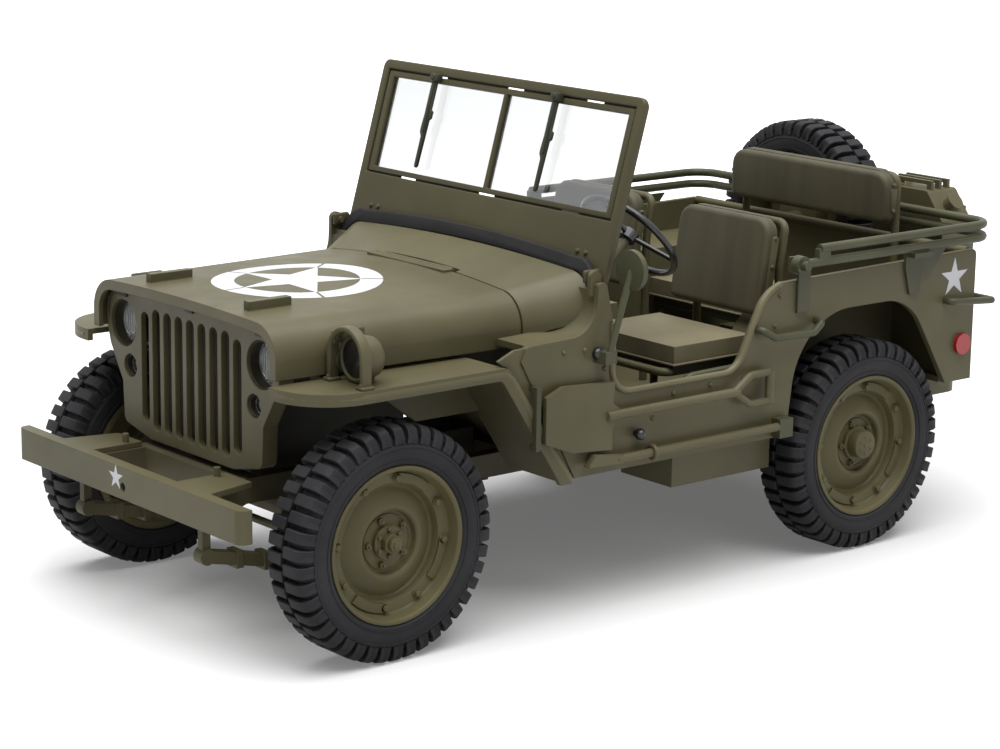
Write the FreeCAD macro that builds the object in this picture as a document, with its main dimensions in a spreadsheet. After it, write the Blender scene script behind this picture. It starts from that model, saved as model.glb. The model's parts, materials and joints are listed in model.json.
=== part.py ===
import FreeCAD, Part
import math
import os
import Sketcher
from FreeCAD import Placement, Rotation, Vector

# A 1:18 scale model of an open army 4x4 car, in millimetres.
# +X is forward, +Y is the car's left, +Z is up; the origin is on the ground,
# under the middle of the model's length and width. Lengths along X are measured from
# the axles, and heights build up from the axle line: rails, floor, ledge, then the rest.

SIZES = {
    # the whole model; overhangs are measured from the axle lines
    "wheelbase": 112.9,
    "front_overhang": 27.6,
    "rear_overhang": 46.1,
    "half_track": 36.3,
    # wheels and tyres
    "wheel_radius": 20.3,
    "tyre_width": 10.4,
    "lug_depth": 1.1,
    "lug_length": 4.85,
    "lug_fall": 0.8,
    "rim_lip_radius": 13.6,
    "rim_lip": 0.6,
    "rim_half_width": 4.8,
    "rim_wall": 0.9,
    "disc_radius": 9.6,
    "hub_recess_radius": 5.4,
    "hub_cap_radius": 2.3,
    "hub_depth": 2.4,
    "spindle_radius": 1.2,
    "spindle_clearance": 0.15,
    "spindle_reach": 2.0,
    "rim_bolt_radius": 0.75,
    # chassis; rail_drop is how far the rails' underside lies below the axle line
    "rail_drop": 0.1,
    "rail_y": 14.2,
    "rail_width": 3.0,
    "rail_height": 4.4,
    "rail_front_rise": 3.8,
    "crossmember": 4.0,
    "boss_radius": 3.0,
    "boss_drop": 3.2,
    "screw_radius": 1.25,
    "screw_depth": 4.5,
    "spring_y": 18.8,
    "spring_width": 2.4,
    "spring_leaf": 2.2,
    "spring_half_length": 23.6,
    "spring_drop": 5.2,
    "spring_band": 0.4,
    "axle_radius": 2.2,
    "diff_radius": 4.5,
    "diff_y": -8.0,
    "kingpin_inset": 6.3,
    "kingpin_radius": 2.4,
    "kingpin_half_height": 3.9,
    "yoke_gap": 0.3,
    "yoke_wall": 1.2,
    "knuckle_radius": 3.4,
    "brake_plate_radius": 5.2,
    "tie_rod_ahead": 8.2,
    "tie_rod_radius": 0.7,
    "engine_width": 17.0,
    "gearbox_width": 11.0,
    "propshaft_radius": 1.1,
    "propshaft_drop": 1.4,
    "silencer_radius": 3.2,
    "exhaust_radius": 1.0,
    "exhaust_drop": 1.5,
    "exhaust_y": 27.0,
    # bumpers and tow hook
    "bumper_half": 35.3,
    "bumper_depth": 2.4,
    "bumper_height": 5.7,
    "bumper_wall": 1.0,
    "bumper_corner": 1.6,
    "crank_radius": 0.8,
    "crank_height": 2.2,
    "bumperette_width": 13.0,
    "bumperette_reach": 7.5,
    "bumperette_height": 4.8,
    "hook_radius": 2.0,
    "hook_bar": 0.8,
    # body tub; floor_gap lifts the floor off the rails, tub_height is floor to ledge
    "body_half": 39.6,
    "panel": 1.2,
    "floor_gap": 0.3,
    "tub_height": 25.1,
    "sill_height": 14.3,
    "door_front": 48.0,
    "door_to_arch": 13.5,
    "pillar_rise": 9.2,
    "quarter_rise": 4.6,
    "tail_length": 30.6,
    "tail_rise": 4.3,
    "arch_drop": 2.4,
    "arch_front_gap": 0.6,
    "arch_rear_gap": 2.3,
    "wheelhouse_width": 15.2,
    "wheelhouse_curve": 15.0,
    "rear_roll_radius": 0.9,
    "dash_height": 8.6,
    # hood, cowl and grille; rises and drops are measured from the ledge
    "hood_front": 15.6,
    "hood_length": 50.3,
    "hood_wall": 0.9,
    "hood_lip": 1.8,
    "hood_side_drop": 2.1,
    "hood_front_half": 28.2,
    "hood_front_rise": 7.4,
    "hood_front_crown": 0.5,
    "hood_back_half": 30.5,
    "hood_back_rise": 8.4,
    "hood_crown": 1.4,
    "hood_corner": 6.0,
    "hood_gap": 0.4,
    "hood_hinge_radius": 0.5,
    "hood_hinge_drop": 0.1,
    "hood_hinge_half": 11.3,
    "rest_block_y": 15.1,
    "cowl_back": 46.0,
    "cowl_side_gap": 1.4,
    "cowl_back_rise": 11.3,
    "cowl_lip_rise": 2.4,
    "cowl_crown": 1.1,
    "grille_front": 13.7,
    "grille_depth": 3.0,
    "grille_wall": 1.1,
    "grille_half": 26.9,
    "grille_gap": 1.0,
    "grille_foot_gap": 1.2,
    "grille_foot_half": 21.4,
    "slot_pitch": 3.58,
    "slot_width": 2.45,
    "slot_foot": 1.8,
    "slot_head": 3.2,
    "headlamp_y": 21.3,
    "headlamp_drop": 7.2,
    "headlamp_radius": 4.2,
    "headlamp_depth": 4.2,
    "marker_y": 19.2,
    "marker_drop": 14.6,
    "marker_radius": 2.1,
    "marker_depth": 2.4,
    "radiator_thick": 3.4,
    # fenders
    "fender_drop": 2.8,
    "fender_wall": 1.0,
    "fender_overhang": 0.7,
    "fender_inner": 24.0,
    "fender_nose": 16.9,
    "fender_corner": 10.4,
    "fender_back": 24.0,
    "fender_foot": 38.6,
    "fender_foot_drop": 0.3,
    "fender_lip": 2.1,
    "blackout_y": 34.4,
    "blackout_radius": 3.1,
    "blackout_rise": 4.6,
    "guard_half": 4.4,
    "guard_bar": 0.6,
    # windscreen
    "screen_lean": 15.9,
    "screen_base_x": 47.9,
    "screen_base_rise": 7.5,
    "screen_height": 34.0,
    "screen_side_gap": 1.0,
    "screen_wall": 1.7,
    "screen_corner": 1.5,
    "glass_bottom": 13.2,
    "glass_top": 30.8,
    "glass_margin": 3.6,
    "mullion": 1.5,
    "glass_wall": 0.7,
    "wiper_y": 17.5,
    "wiper_arm": 1.1,
    "screen_pivot_x": 44.9,
    "screen_pivot_rise": 10.0,
    "screen_pin": 0.6,
    "screen_ear": 0.9,
    "screen_arm": 1.0,
    "pin_clearance": 0.05,
    "gasket": 2.2,
    "gasket_depth": 1.0,
    # seats; heights are measured from the floor's underside
    "seat_inner": 6.0,
    "seat_width": 25.0,
    "seat_depth": 19.4,
    "seat_height": 18.7,
    "seat_thick": 4.6,
    "seat_back_height": 18.8,
    "seat_back_thick": 3.6,
    "seat_tube": 0.8,
    "rear_seat_depth": 19.0,
    "rear_back_rise": 33.3,
    "rear_back_height": 10.2,
    "seat_gap": 0.9,
    # steering
    "wheel_centre_x": 70.2,
    "wheel_centre_y": 18.8,
    "wheel_centre_rise": 12.1,
    "wheel_ring_radius": 10.1,
    "wheel_tube": 0.65,
    "wheel_hub_radius": 1.7,
    "spoke_radius": 0.45,
    "column_angle": 42.0,
    "column_radius": 0.9,
    "column_length": 32.0,
    "lever_radius": 0.5,
    "knob_radius": 1.1,
    # folding top bows
    "bow_standoff": 1.7,
    "bow_pivot_x": 92.4,
    "bow_pivot_rise": 3.1,
    "bow_radius": 0.85,
    "bow_spacing": 2.5,
    "bow_back": 33.3,
    "bow_corner": 5.0,
    "bow_pin": 0.9,
    # spare wheel, jerrycan and tail
    "spare_y": -17.0,
    "spare_drop": 1.4,
    "jerrycan_width": 19.0,
    "jerrycan_depth": 8.6,
    "jerrycan_height": 24.8,
    "jerrycan_y": 16.8,
    "jerrycan_gap": 4.9,
    "jerrycan_drop": 15.6,
    "tray_wall": 0.8,
    "reflector_radius": 2.1,
    "tail_lamp_radius": 1.9,
    # hand tools and fittings on the sides
    "tool_standoff": 0.9,
    "shovel_length": 46.0,
    "shovel_rise": 10.9,
    "axe_rise": 3.0,
    "handle_radius": 0.85,
    "grip_radius": 0.7,
    "bracket_wall": 0.58,
    "mirror_radius": 3.6,
    "mirror_standoff": 2.4,
    "mirror_rise": 2.2,
}

LUGS = 24                # tread lugs around each side of a tyre
RIM_BOLTS = 8
GRILLE_SLOTS = 9

doc = FreeCAD.newDocument("army_car_model")
sheet = doc.addObject("Spreadsheet::Sheet", "Sizes")
for row, (alias, value) in enumerate(SIZES.items(), start=1):
    sheet.set(f"A{row}", alias)
    sheet.set(f"B{row}", str(value))
    sheet.setAlias(f"B{row}", alias)
doc.recompute()


class Size:
    """A number together with the spreadsheet expression it comes from."""

    def __init__(self, value, text):
        self.value = float(value)
        self.text = text

    def __float__(self):
        return self.value

    def __add__(self, other):
        return Size(self.value + float(other), f"({self.text} + {text_of(other)})")

    def __radd__(self, other):
        return Size(float(other) + self.value, f"({text_of(other)} + {self.text})")

    def __sub__(self, other):
        return Size(self.value - float(other), f"({self.text} - {text_of(other)})")

    def __rsub__(self, other):
        return Size(float(other) - self.value, f"({text_of(other)} - {self.text})")

    def __mul__(self, other):
        return Size(self.value * float(other), f"({self.text} * {text_of(other)})")

    __rmul__ = __mul__

    def __truediv__(self, other):
        return Size(self.value / float(other), f"({self.text} / {text_of(other)})")

    def __neg__(self):
        return Size(-self.value, f"(-1 * {self.text})")


def text_of(quantity):
    return quantity.text if isinstance(quantity, Size) else repr(float(quantity))


def cosine(angle):
    return Size(math.cos(math.radians(float(angle))), f"cos({angle.text})")


def sine(angle):
    return Size(math.sin(math.radians(float(angle))), f"sin({angle.text})")


class Sheet:
    """Reads a size from the spreadsheet by its name."""

    def __getattr__(self, alias):
        return Size(float(sheet.get(alias)), f"Sizes.{alias}")


s = Sheet()
LEFT, RIGHT = 1, -1
SIDES = {"left": LEFT, "right": RIGHT}
UPRIGHT = Rotation()
ALONG_X = Rotation(Vector(0, 0, 1), Vector(1, 0, 0))
ALONG_Y = Rotation(Vector(0, 0, 1), Vector(0, 1, 0))
nodes = {}


# ---- places that many pieces share -------------------------------------------------

front_axle = (s.wheelbase + s.rear_overhang - s.front_overhang) / 2
rear_axle = front_axle - s.wheelbase
body_rear = rear_axle - s.tail_length
body_inner = s.body_half - s.panel
kingpin_y = s.half_track - s.kingpin_inset
hood_back = s.hood_length - s.hood_front       # distance of the hood seam behind the axle
arch_front = rear_axle + s.wheel_radius + s.arch_front_gap
arch_rear = rear_axle - s.wheel_radius - s.arch_rear_gap
door_end = arch_front + s.door_to_arch
house_front = arch_front + 1.4                 # front and back faces of the wheelhouse boxes
house_back = arch_rear - s.panel
house_inner = body_inner - s.wheelhouse_width
cowl_half = body_inner - s.cowl_side_gap
screen_half = body_inner - s.screen_side_gap
glass_half = screen_half - s.glass_margin
fender_half = s.body_half + s.fender_overhang
spare_x = rear_axle - s.rear_overhang + s.tyre_width / 2

axle_z = s.wheel_radius
rail_low = axle_z - s.rail_drop
rail_top = rail_low + s.rail_height
horn_low = rail_low + s.rail_front_rise        # underside of the rails' raised front ends
horn_top = horn_low + s.rail_height
floor_low = rail_top + s.floor_gap
floor_top = floor_low + s.panel
ledge = floor_low + s.tub_height
door_sill = floor_low + s.sill_height
pillar_top = ledge + s.pillar_rise
body_top = ledge + s.quarter_rise
tail_low = floor_low + s.tail_rise
arch_top = ledge - s.arch_drop
hood_low = ledge - s.hood_side_drop
nose_top = ledge + s.hood_front_rise
hood_top = ledge + s.hood_back_rise
cowl_top = ledge + s.cowl_back_rise
cowl_low = ledge + s.cowl_lip_rise
grille_top = nose_top - s.grille_gap
grille_low = horn_top + s.grille_foot_gap
slot_low = grille_low + s.slot_foot
slot_high = grille_top - s.slot_head
headlamp_z = grille_top - s.headlamp_drop
marker_z = grille_top - s.marker_drop
fender_top = ledge - s.fender_drop
screen_base = ledge + s.screen_base_rise
screen_pivot = ledge + s.screen_pivot_rise
seat_top = floor_low + s.seat_height
bow_y = s.body_half + s.bow_standoff
bow_pivot = body_top + s.bow_pivot_rise
spare_z = body_top - s.spare_drop
jerrycan_low = body_top - s.jerrycan_drop
mirror_y = s.body_half + s.mirror_standoff


def behind(distance):
    """X of a place that lies this far behind the front axle."""
    return front_axle - distance


def node(label, thing):
    thing.Label = label
    nodes[label] = thing
    return thing


# ---- small helpers that make bound objects -----------------------------------------

def bind(thing, prop, size):
    if isinstance(size, Size):
        thing.setExpression(prop, size.text)
    else:
        setattr(thing, prop, size)


def place(thing, at, turn=UPRIGHT):
    """Put a thing at a point, with each coordinate bound to the sheet."""
    thing.Placement = Placement(Vector(*(float(c) for c in at)), turn)
    for axis, size in zip("xyz", at):
        if isinstance(size, Size):
            thing.setExpression(f"Placement.Base.{axis}", size.text)
    return thing


def box(name, low, lengths, turn=UPRIGHT):
    thing = doc.addObject("Part::Box", name)
    for prop, size in zip(("Length", "Width", "Height"), lengths):
        bind(thing, prop, size)
    return place(thing, low, turn)


def mid_box(name, low, lengths):
    """A box centred across Y on low's Y."""
    return box(name, (low[0], low[1] - lengths[1] / 2, low[2]), lengths)


def rod(name, start, radius, length, turn=UPRIGHT):
    thing = doc.addObject("Part::Cylinder", name)
    bind(thing, "Radius", radius)
    bind(thing, "Height", length)
    return place(thing, start, turn)


def ball(name, centre, radius):
    thing = doc.addObject("Part::Sphere", name)
    bind(thing, "Radius", radius)
    return place(thing, centre)


def ring(name, centre, radius, tube, turn=UPRIGHT):
    thing = doc.addObject("Part::Torus", name)
    bind(thing, "Radius1", radius)
    bind(thing, "Radius2", tube)
    return place(thing, centre, turn)


def join(name, parts):
    thing = doc.addObject("Part::MultiFuse", name)
    thing.Shapes = parts
    thing.Refine = True
    return thing


def cut(name, base, tool):
    thing = doc.addObject("Part::Cut", name)
    thing.Base = base
    thing.Tool = tool
    thing.Refine = True
    return thing


def group(name, parts):
    """Separate solids that share one node."""
    thing = doc.addObject("Part::Compound", name)
    thing.Links = parts
    return thing


def mirror(name, source):
    """The same piece on the other side of the car."""
    thing = doc.addObject("Part::Mirroring", name)
    thing.Source = source
    thing.Base = Vector(0, 0, 0)
    thing.Normal = Vector(0, 1, 0)
    return thing


def feature(name, shape, at=(0, 0, 0), turn=UPRIGHT):
    thing = doc.addObject("Part::Feature", name)
    thing.Shape = shape
    return place(thing, at, turn)


def origin_part(body, role):
    return [part for part in body.Origin.OriginFeatures if part.Role == role][0]


def fix_point(sketch, rules, geometry, end, x, y):
    """Add the two constraints that hold a point at (x, y)."""
    for kind, size in (("DistanceX", x), ("DistanceY", y)):
        rules.append((Sketcher.Constraint(kind, -1, 1, geometry, end, float(size)), size))


def draw(sketch, corners):
    """Draw a closed outline. A corner is (x, y), or (x, y, r) if it is rounded."""
    points = [Vector(float(corner[0]), float(corner[1]), 0) for corner in corners]
    count = len(points)
    first = sketch.GeometryCount
    entries, exits, arcs = [], [], {}
    for index, corner in enumerate(corners):
        point = points[index]
        if len(corner) < 3:
            entries.append(point)
            exits.append(point)
            continue
        back = (points[index - 1] - point).normalize()
        onward = (points[(index + 1) % count] - point).normalize()
        half = back.getAngle(onward) / 2
        radius = float(corner[2])
        entries.append(point + back * (radius / math.tan(half)))
        exits.append(point + onward * (radius / math.tan(half)))
        centre = point + (back + onward).normalize() * (radius / math.sin(half))
        arcs[index] = (centre, radius, back.cross(onward).z < 0)
    for index in range(count):
        sketch.addGeometry(Part.LineSegment(exits[index], entries[(index + 1) % count]))
    rules = []
    for index, corner in enumerate(corners):
        line_in, line_out = first + (index - 1) % count, first + index
        if index not in arcs:
            rules.append((Sketcher.Constraint("Coincident", line_in, 2, line_out, 1), None))
            fix_point(sketch, rules, line_out, 1, corner[0], corner[1])
            continue
        centre, radius, turns_left = arcs[index]
        start, end = (entries[index], exits[index]) if turns_left else (exits[index], entries[index])
        angles = [math.atan2(p.y - centre.y, p.x - centre.x) for p in (start, end)]
        circle = Part.Circle(centre, Vector(0, 0, 1), radius)
        arc = sketch.addGeometry(Part.ArcOfCircle(circle, *angles))
        peak = sketch.addGeometry(Part.Point(points[index]), True)
        arc_in, arc_out = (1, 2) if turns_left else (2, 1)
        rules.append((Sketcher.Constraint("Tangent", line_in, 2, arc, arc_in), None))
        rules.append((Sketcher.Constraint("Tangent", arc, arc_out, line_out, 1), None))
        rules.append((Sketcher.Constraint("Radius", arc, radius), corner[2]))
        rules.append((Sketcher.Constraint("PointOnObject", peak, 1, line_in), None))
        rules.append((Sketcher.Constraint("PointOnObject", peak, 1, line_out), None))
        fix_point(sketch, rules, peak, 1, corner[0], corner[1])
    add_rules(sketch, rules)


def draw_circle(sketch, x, y, radius):
    centre = Vector(float(x), float(y), 0)
    circle = sketch.addGeometry(Part.Circle(centre, Vector(0, 0, 1), float(radius)))
    rules = [(Sketcher.Constraint("Radius", circle, float(radius)), radius)]
    fix_point(sketch, rules, circle, 3, x, y)
    add_rules(sketch, rules)


def add_rules(sketch, rules):
    first = sketch.addConstraint([rule for rule, size in rules])
    first = first[0] if isinstance(first, (list, tuple)) else sketch.ConstraintCount - len(rules)
    for index, (rule, size) in enumerate(rules, start=first):
        if isinstance(size, Size):
            sketch.setExpression(f"Constraints[{index}]", size.text)


def sketch_on(body, role, name, offset=0.0):
    sketch = body.newObject("Sketcher::SketchObject", name)
    sketch.AttachmentSupport = (origin_part(body, role), [""])
    sketch.MapMode = "FlatFace"
    sketch.AttachmentOffset = Placement(Vector(0, 0, float(offset)), Rotation())
    if isinstance(offset, Size):
        sketch.setExpression("AttachmentOffset.Base.z", offset.text)
    return sketch


def draw_all(sketch, outlines):
    for outline in outlines:
        if outline[0] == "circle":
            draw_circle(sketch, *outline[1:])
        else:
            draw(sketch, outline)


def prism(name, plane, start, depth, *outlines):
    """Pad an outline, less any holes, from start to start + depth along the plane's axis.

    Outlines are in (X, Y) for plane XY, (X, Z) for XZ and (Y, Z) for YZ."""
    body = doc.addObject("PartDesign::Body", name)
    offset = -(start + depth) if plane == "XZ" else start
    sketch = sketch_on(body, f"{plane}_Plane", f"{name}_sketch", offset)
    draw_all(sketch, outlines)
    pad = body.newObject("PartDesign::Pad", f"{name}_pad")
    pad.Profile = sketch
    bind(pad, "Length", depth)
    sketch.Visibility = False
    return body


def across(name, half, outline):
    """A prism that spans the car's whole width, from -half to +half in Y."""
    return prism(name, "XZ", -half, half * 2, outline)


def turned(name, outline, at=(0, 0, 0), turn=UPRIGHT):
    """Revolve an outline of (radius, height) about the local Y axis."""
    body = doc.addObject("PartDesign::Body", name)
    sketch = sketch_on(body, "XY_Plane", f"{name}_sketch")
    draw(sketch, outline)
    spin = body.newObject("PartDesign::Revolution", f"{name}_revolution")
    spin.Profile = sketch
    spin.ReferenceAxis = (sketch, ["V_Axis"])
    spin.Angle = 360
    return place(body, at, turn)


def bolt_ring(body, name, circle, radius, start, height, count):
    """Pad one round head on a turned body and repeat it around the body's Y axis."""
    sketch = sketch_on(body, "XZ_Plane", f"{name}_sketch", -start)
    draw_circle(sketch, circle, 0.0, radius)
    pad = body.newObject("PartDesign::Pad", f"{name}_pad")
    pad.Profile = sketch
    bind(pad, "Length", height)
    pad.Reversed = True
    doc.recompute()
    pattern = body.newObject("PartDesign::PolarPattern", f"{name}_pattern")
    pattern.Originals = [pad]
    pattern.Axis = (origin_part(body, "Y_Axis"), [""])
    pattern.Angle = 360
    pattern.Occurrences = count
    body.Tip = pattern
    return body


def bent_path(points, bend):
    """Edges along a route: straight runs joined by arcs of one radius."""
    edges, start = [], points[0]
    for before, corner, after in zip(points, points[1:], points[2:]):
        back, onward = (before - corner).normalize(), (after - corner).normalize()
        half = back.getAngle(onward) / 2
        reach = bend / math.tan(half)
        entry, leave = corner + back * reach, corner + onward * reach
        centre = corner + (back + onward).normalize() * (bend / math.sin(half))
        middle = centre + (corner - centre).normalize() * bend
        edges += [Part.LineSegment(start, entry).toShape(), Part.Arc(entry, middle, leave).toShape()]
        start = leave
    return edges + [Part.LineSegment(start, points[-1]).toShape()]


def tube(route, radius, bend):
    """The solid of a round bar bent along a route of (x, y, z) points."""
    points = [Vector(*(float(c) for c in point)) for point in route]
    path = Part.Wire(bent_path(points, float(bend)))
    circle = Part.Circle(points[0], points[1] - points[0], float(radius)).toShape()
    return path.makePipeShell([Part.Wire(circle)], True, True)


def half_section(x, half, top, corner, bottom, crown):
    """An arched section across the car: sides, rounded shoulders and a crowned top."""
    shoulder = half - corner
    low = top - crown
    edge = math.sqrt(0.5)
    def at(y, z):
        return Vector(x, y, z)
    pieces = [
        Part.LineSegment(at(-half, bottom), at(-half, low - corner)),
        Part.Arc(at(-half, low - corner), at(-shoulder - corner * edge, low - corner * (1 - edge)),
                 at(-shoulder, low)),
        Part.Arc(at(-shoulder, low), at(0, top), at(shoulder, low)),
        Part.Arc(at(shoulder, low), at(shoulder + corner * edge, low - corner * (1 - edge)),
                 at(half, low - corner)),
        Part.LineSegment(at(half, low - corner), at(half, bottom)),
        Part.LineSegment(at(half, bottom), at(-half, bottom)),
    ]
    return Part.Wire([piece.toShape() for piece in pieces])


def lofted(sections):
    return Part.makeLoft([half_section(*section) for section in sections], True, True)


# ---- chassis -----------------------------------------------------------------------

def make_chassis():
    """Two side rails with raised front horns, crossmembers and two screw bosses."""
    nose = front_axle + s.front_overhang - s.bumper_depth
    rise_start, rise_end = behind(26), behind(8)
    tail = body_rear + s.panel
    arch = axle_z + s.axle_radius + 0.2
    outline = [(tail, rail_low), (rear_axle - 9, rail_low), (rear_axle - 5, arch),
               (rear_axle + 5, arch), (rear_axle + 9, rail_low),
               (rise_start, rail_low), (rise_end, horn_low),
               (nose, horn_low), (nose, horn_top), (rise_end, horn_top),
               (rise_start, rail_top), (tail, rail_top)]
    rail = prism("rail", "XZ", s.rail_y - s.rail_width / 2, s.rail_width, outline)
    parts = [rail, mirror("rail_other", rail)]
    width = s.rail_y * 2
    back_member = tail + s.crossmember
    front_low = rail_low + 2.4
    members = ((front_axle + 13, horn_low), (behind(12), front_low), (behind(47), rail_low),
               (behind(78), rail_low), (rear_axle + 12, rail_low), (back_member, rail_low))
    for number, (x, low) in enumerate(members):
        parts.append(mid_box(f"crossmember_{number}", (x - s.crossmember / 2, 0, low),
                             (s.crossmember, width, s.rail_height)))
    holes = []
    for place_name, x, low in (("front", behind(12), front_low - s.boss_drop),
                               ("rear", back_member, rail_low - s.boss_drop)):
        parts.append(rod(f"boss_{place_name}", (x, 0, low), s.boss_radius, s.boss_drop + s.rail_height))
        holes.append(rod(f"screw_hole_{place_name}", (x, 0, low), s.screw_radius, s.screw_depth))
    solid = join("chassis_solid", parts)
    node("chassis", cut("chassis_cut", solid, join("screw_holes", holes)))


def make_leaf_springs():
    """Four leaf springs under the axles, with bands, eyes and shackles up to the rails."""
    solids = []
    reach, leaf, band = s.spring_half_length, s.spring_leaf, s.spring_band
    top = axle_z - s.spring_drop
    low_y = s.spring_y - s.spring_width / 2
    for axle_name, axle_x, front_high in (("front", front_axle, horn_low), ("rear", rear_axle, rail_low)):
        bow = leaf * 1.6
        outline = [(axle_x - reach, top - leaf + bow), (axle_x - reach / 3, top - leaf),
                   (axle_x + reach / 3, top - leaf), (axle_x + reach, top - leaf + bow),
                   (axle_x + reach, top + bow), (axle_x + reach / 3, top),
                   (axle_x - reach / 3, top), (axle_x - reach, top + bow)]
        parts = [prism(f"spring_{axle_name}", "XZ", low_y, s.spring_width, outline)]
        seat_high = axle_z - s.axle_radius - 0.05
        parts.append(box(f"spring_seat_{axle_name}", (axle_x - 3, low_y, top - leaf - band),
                         (6.0, s.spring_width, seat_high - top + leaf + band)))
        for number, share in enumerate((-0.74, -0.5, 0.5, 0.74)):
            rise = bow * (abs(share) * 1.5 - 0.5)
            parts.append(box(f"spring_band_{axle_name}_{number}",
                             (axle_x + reach * share - 0.7, low_y - band, top + rise - leaf - band),
                             (1.4, s.spring_width + band * 2, leaf + band * 2)))
        for end_name, x, high in (("front", axle_x + reach, front_high), ("rear", axle_x - reach, rail_low)):
            eye_z = top + bow - leaf / 2
            parts.append(rod(f"eye_{axle_name}_{end_name}", (x, low_y, eye_z), leaf * 0.65,
                             s.spring_width, ALONG_Y))
            parts.append(box(f"shackle_{axle_name}_{end_name}", (x - 0.8, low_y + 0.5, eye_z),
                             (1.6, s.spring_width - 1.0, high - eye_z)))
            parts.append(box(f"shackle_foot_{axle_name}_{end_name}",
                             (x - 1.4, s.rail_y + s.rail_width / 2 + 0.02, high - 1.4),
                             (2.8, low_y + s.spring_width - s.rail_y - s.rail_width / 2, 2.4)))
        spring = join(f"spring_{axle_name}_set", parts)
        solids += [spring, mirror(f"spring_{axle_name}_other", spring)]
    node("leaf_springs", group("leaf_spring_set", solids))


def make_axles():
    """Axle tubes with a differential each; the front one ends in yokes for the kingpins."""
    for axle_name, axle_x, end in (("front", front_axle, kingpin_y - s.knuckle_radius - 0.35),
                                   ("rear", rear_axle, s.half_track - s.rim_half_width - 0.35)):
        parts = [rod(f"{axle_name}_tube", (axle_x, -end, axle_z), s.axle_radius, end * 2, ALONG_Y),
                 ball(f"{axle_name}_diff", (axle_x, s.diff_y, axle_z), s.diff_radius)]
        if axle_name == "rear":
            reach = s.half_track + s.spindle_reach
            parts.append(rod("rear_shaft", (axle_x, -reach, axle_z), s.spindle_radius, reach * 2, ALONG_Y))
        else:
            for side_name, side in SIDES.items():
                parts += yoke(side_name, side, axle_x)
        node(f"{axle_name}_axle", join(f"{axle_name}_axle_solid", parts))


def yoke(side_name, side, axle_x):
    """The fork at one end of the front axle, above and below the knuckle."""
    wall, half = s.yoke_wall, s.yoke_wall + 0.2
    y = kingpin_y * side
    reach = s.kingpin_half_height + s.yoke_gap
    arms = [mid_box(f"yoke_{side_name}_{end_name}", (axle_x - half, y - wall * side, axle_z + z),
                    (half * 2, s.kingpin_radius * 2, wall))
            for end_name, z in (("top", reach), ("bottom", -reach - wall))]
    web = mid_box(f"yoke_{side_name}_web",
                  (axle_x - half, y - (s.knuckle_radius + 0.8) * side, axle_z - reach - wall),
                  (half * 2, 1.6, (reach + wall) * 2))
    return arms + [web]


def make_tie_rod():
    """Tie rod ahead of the front axle, with a ball end by each knuckle."""
    x = front_axle + s.tie_rod_ahead
    span = kingpin_y - 5
    end_high = s.tie_rod_radius + 0.5
    rods = [rod("tie_bar", (x, -span, axle_z - 0.6), s.tie_rod_radius, span * 2, ALONG_Y)]
    for side_name, side in SIDES.items():
        rods.append(rod(f"tie_end_{side_name}", (x, span * side, axle_z - 0.6 - end_high), 1.1,
                        end_high * 2))
    node("tie_rod", join("tie_rod_solid", rods))


def make_knuckles():
    """Steering knuckles with a kingpin between the axle yokes and a spindle for the wheel."""
    for side_name, side in SIDES.items():
        y = kingpin_y * side
        turn = ALONG_Y if side == LEFT else Rotation(Vector(0, 0, 1), Vector(0, -1, 0))
        reach = s.half_track + s.spindle_reach - kingpin_y
        half = s.kingpin_half_height
        body = rod(f"kingpin_{side_name}", (front_axle, y, axle_z - half), s.kingpin_radius, half * 2)
        spindle = rod(f"spindle_{side_name}", (front_axle, y, axle_z), s.spindle_radius, reach, turn)
        plate = rod(f"brake_plate_{side_name}", (front_axle, y + (s.kingpin_radius - 0.5) * side, axle_z),
                    s.brake_plate_radius, 1.4, turn)
        node(f"knuckle_{side_name}", join(f"knuckle_{side_name}_solid", [body, spindle, plate]))


def make_driveline():
    """Engine block, gearbox and transfer case, with propeller shafts to both axles."""
    deck = rail_top + 2.4
    half_box = s.gearbox_width / 2
    transfer_x, transfer_y = behind(66), -half_box - 6.9
    block = mid_box("engine_block", (behind(26), 0, deck), (33.0, s.engine_width, 20.0))
    gearbox = mid_box("gearbox", (behind(44.6), 0, deck - 11.6), (26.0, s.gearbox_width, 11.6))
    transfer = box("transfer_case", (transfer_x, transfer_y, deck - 12.6), (16.6, 11.4, 10.4))
    neck = mid_box("gearbox_neck", (behind(50), 0, deck - 11.4), (5.6, 7.0, 4.4))
    node("engine", join("engine_solid", [block, gearbox, transfer, neck]))
    y, z = s.diff_y, axle_z - s.propshaft_drop
    front_start, front_end = transfer_x + 16.62, front_axle - s.diff_radius - 0.02
    rear_start, rear_end = transfer_x - 0.02, rear_axle + s.diff_radius + 0.02
    shafts = [rod("front_shaft", (front_start, y, z), s.propshaft_radius, front_end - front_start, ALONG_X),
              rod("rear_shaft_long", (rear_end, y, z), s.propshaft_radius, rear_start - rear_end, ALONG_X)]
    node("propeller_shafts", group("propeller_shaft_set", shafts))


def make_exhaust():
    """Exhaust pipe and silencer under the right side of the floor."""
    y, z = -s.exhaust_y, axle_z - s.exhaust_drop
    start_y = -s.gearbox_width / 2 - 5.7
    silencer = rod("silencer", (behind(84), y, z), s.silencer_radius, 24.0, ALONG_X)
    route = [(behind(20), start_y, rail_top + 0.4), (behind(36), start_y, z), (behind(50), y, z),
             (behind(62), y, z)]
    pipe = feature("front_pipe", tube(route, s.exhaust_radius, 4.0))
    tail = feature("tail_pipe", tube([(behind(84), y, z), (behind(87), y, z),
                                      (behind(88), -(s.body_half - 2.6), z)], s.exhaust_radius - 0.1, 1.2))
    node("exhaust", join("exhaust_solid", [silencer, pipe, tail]))


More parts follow.
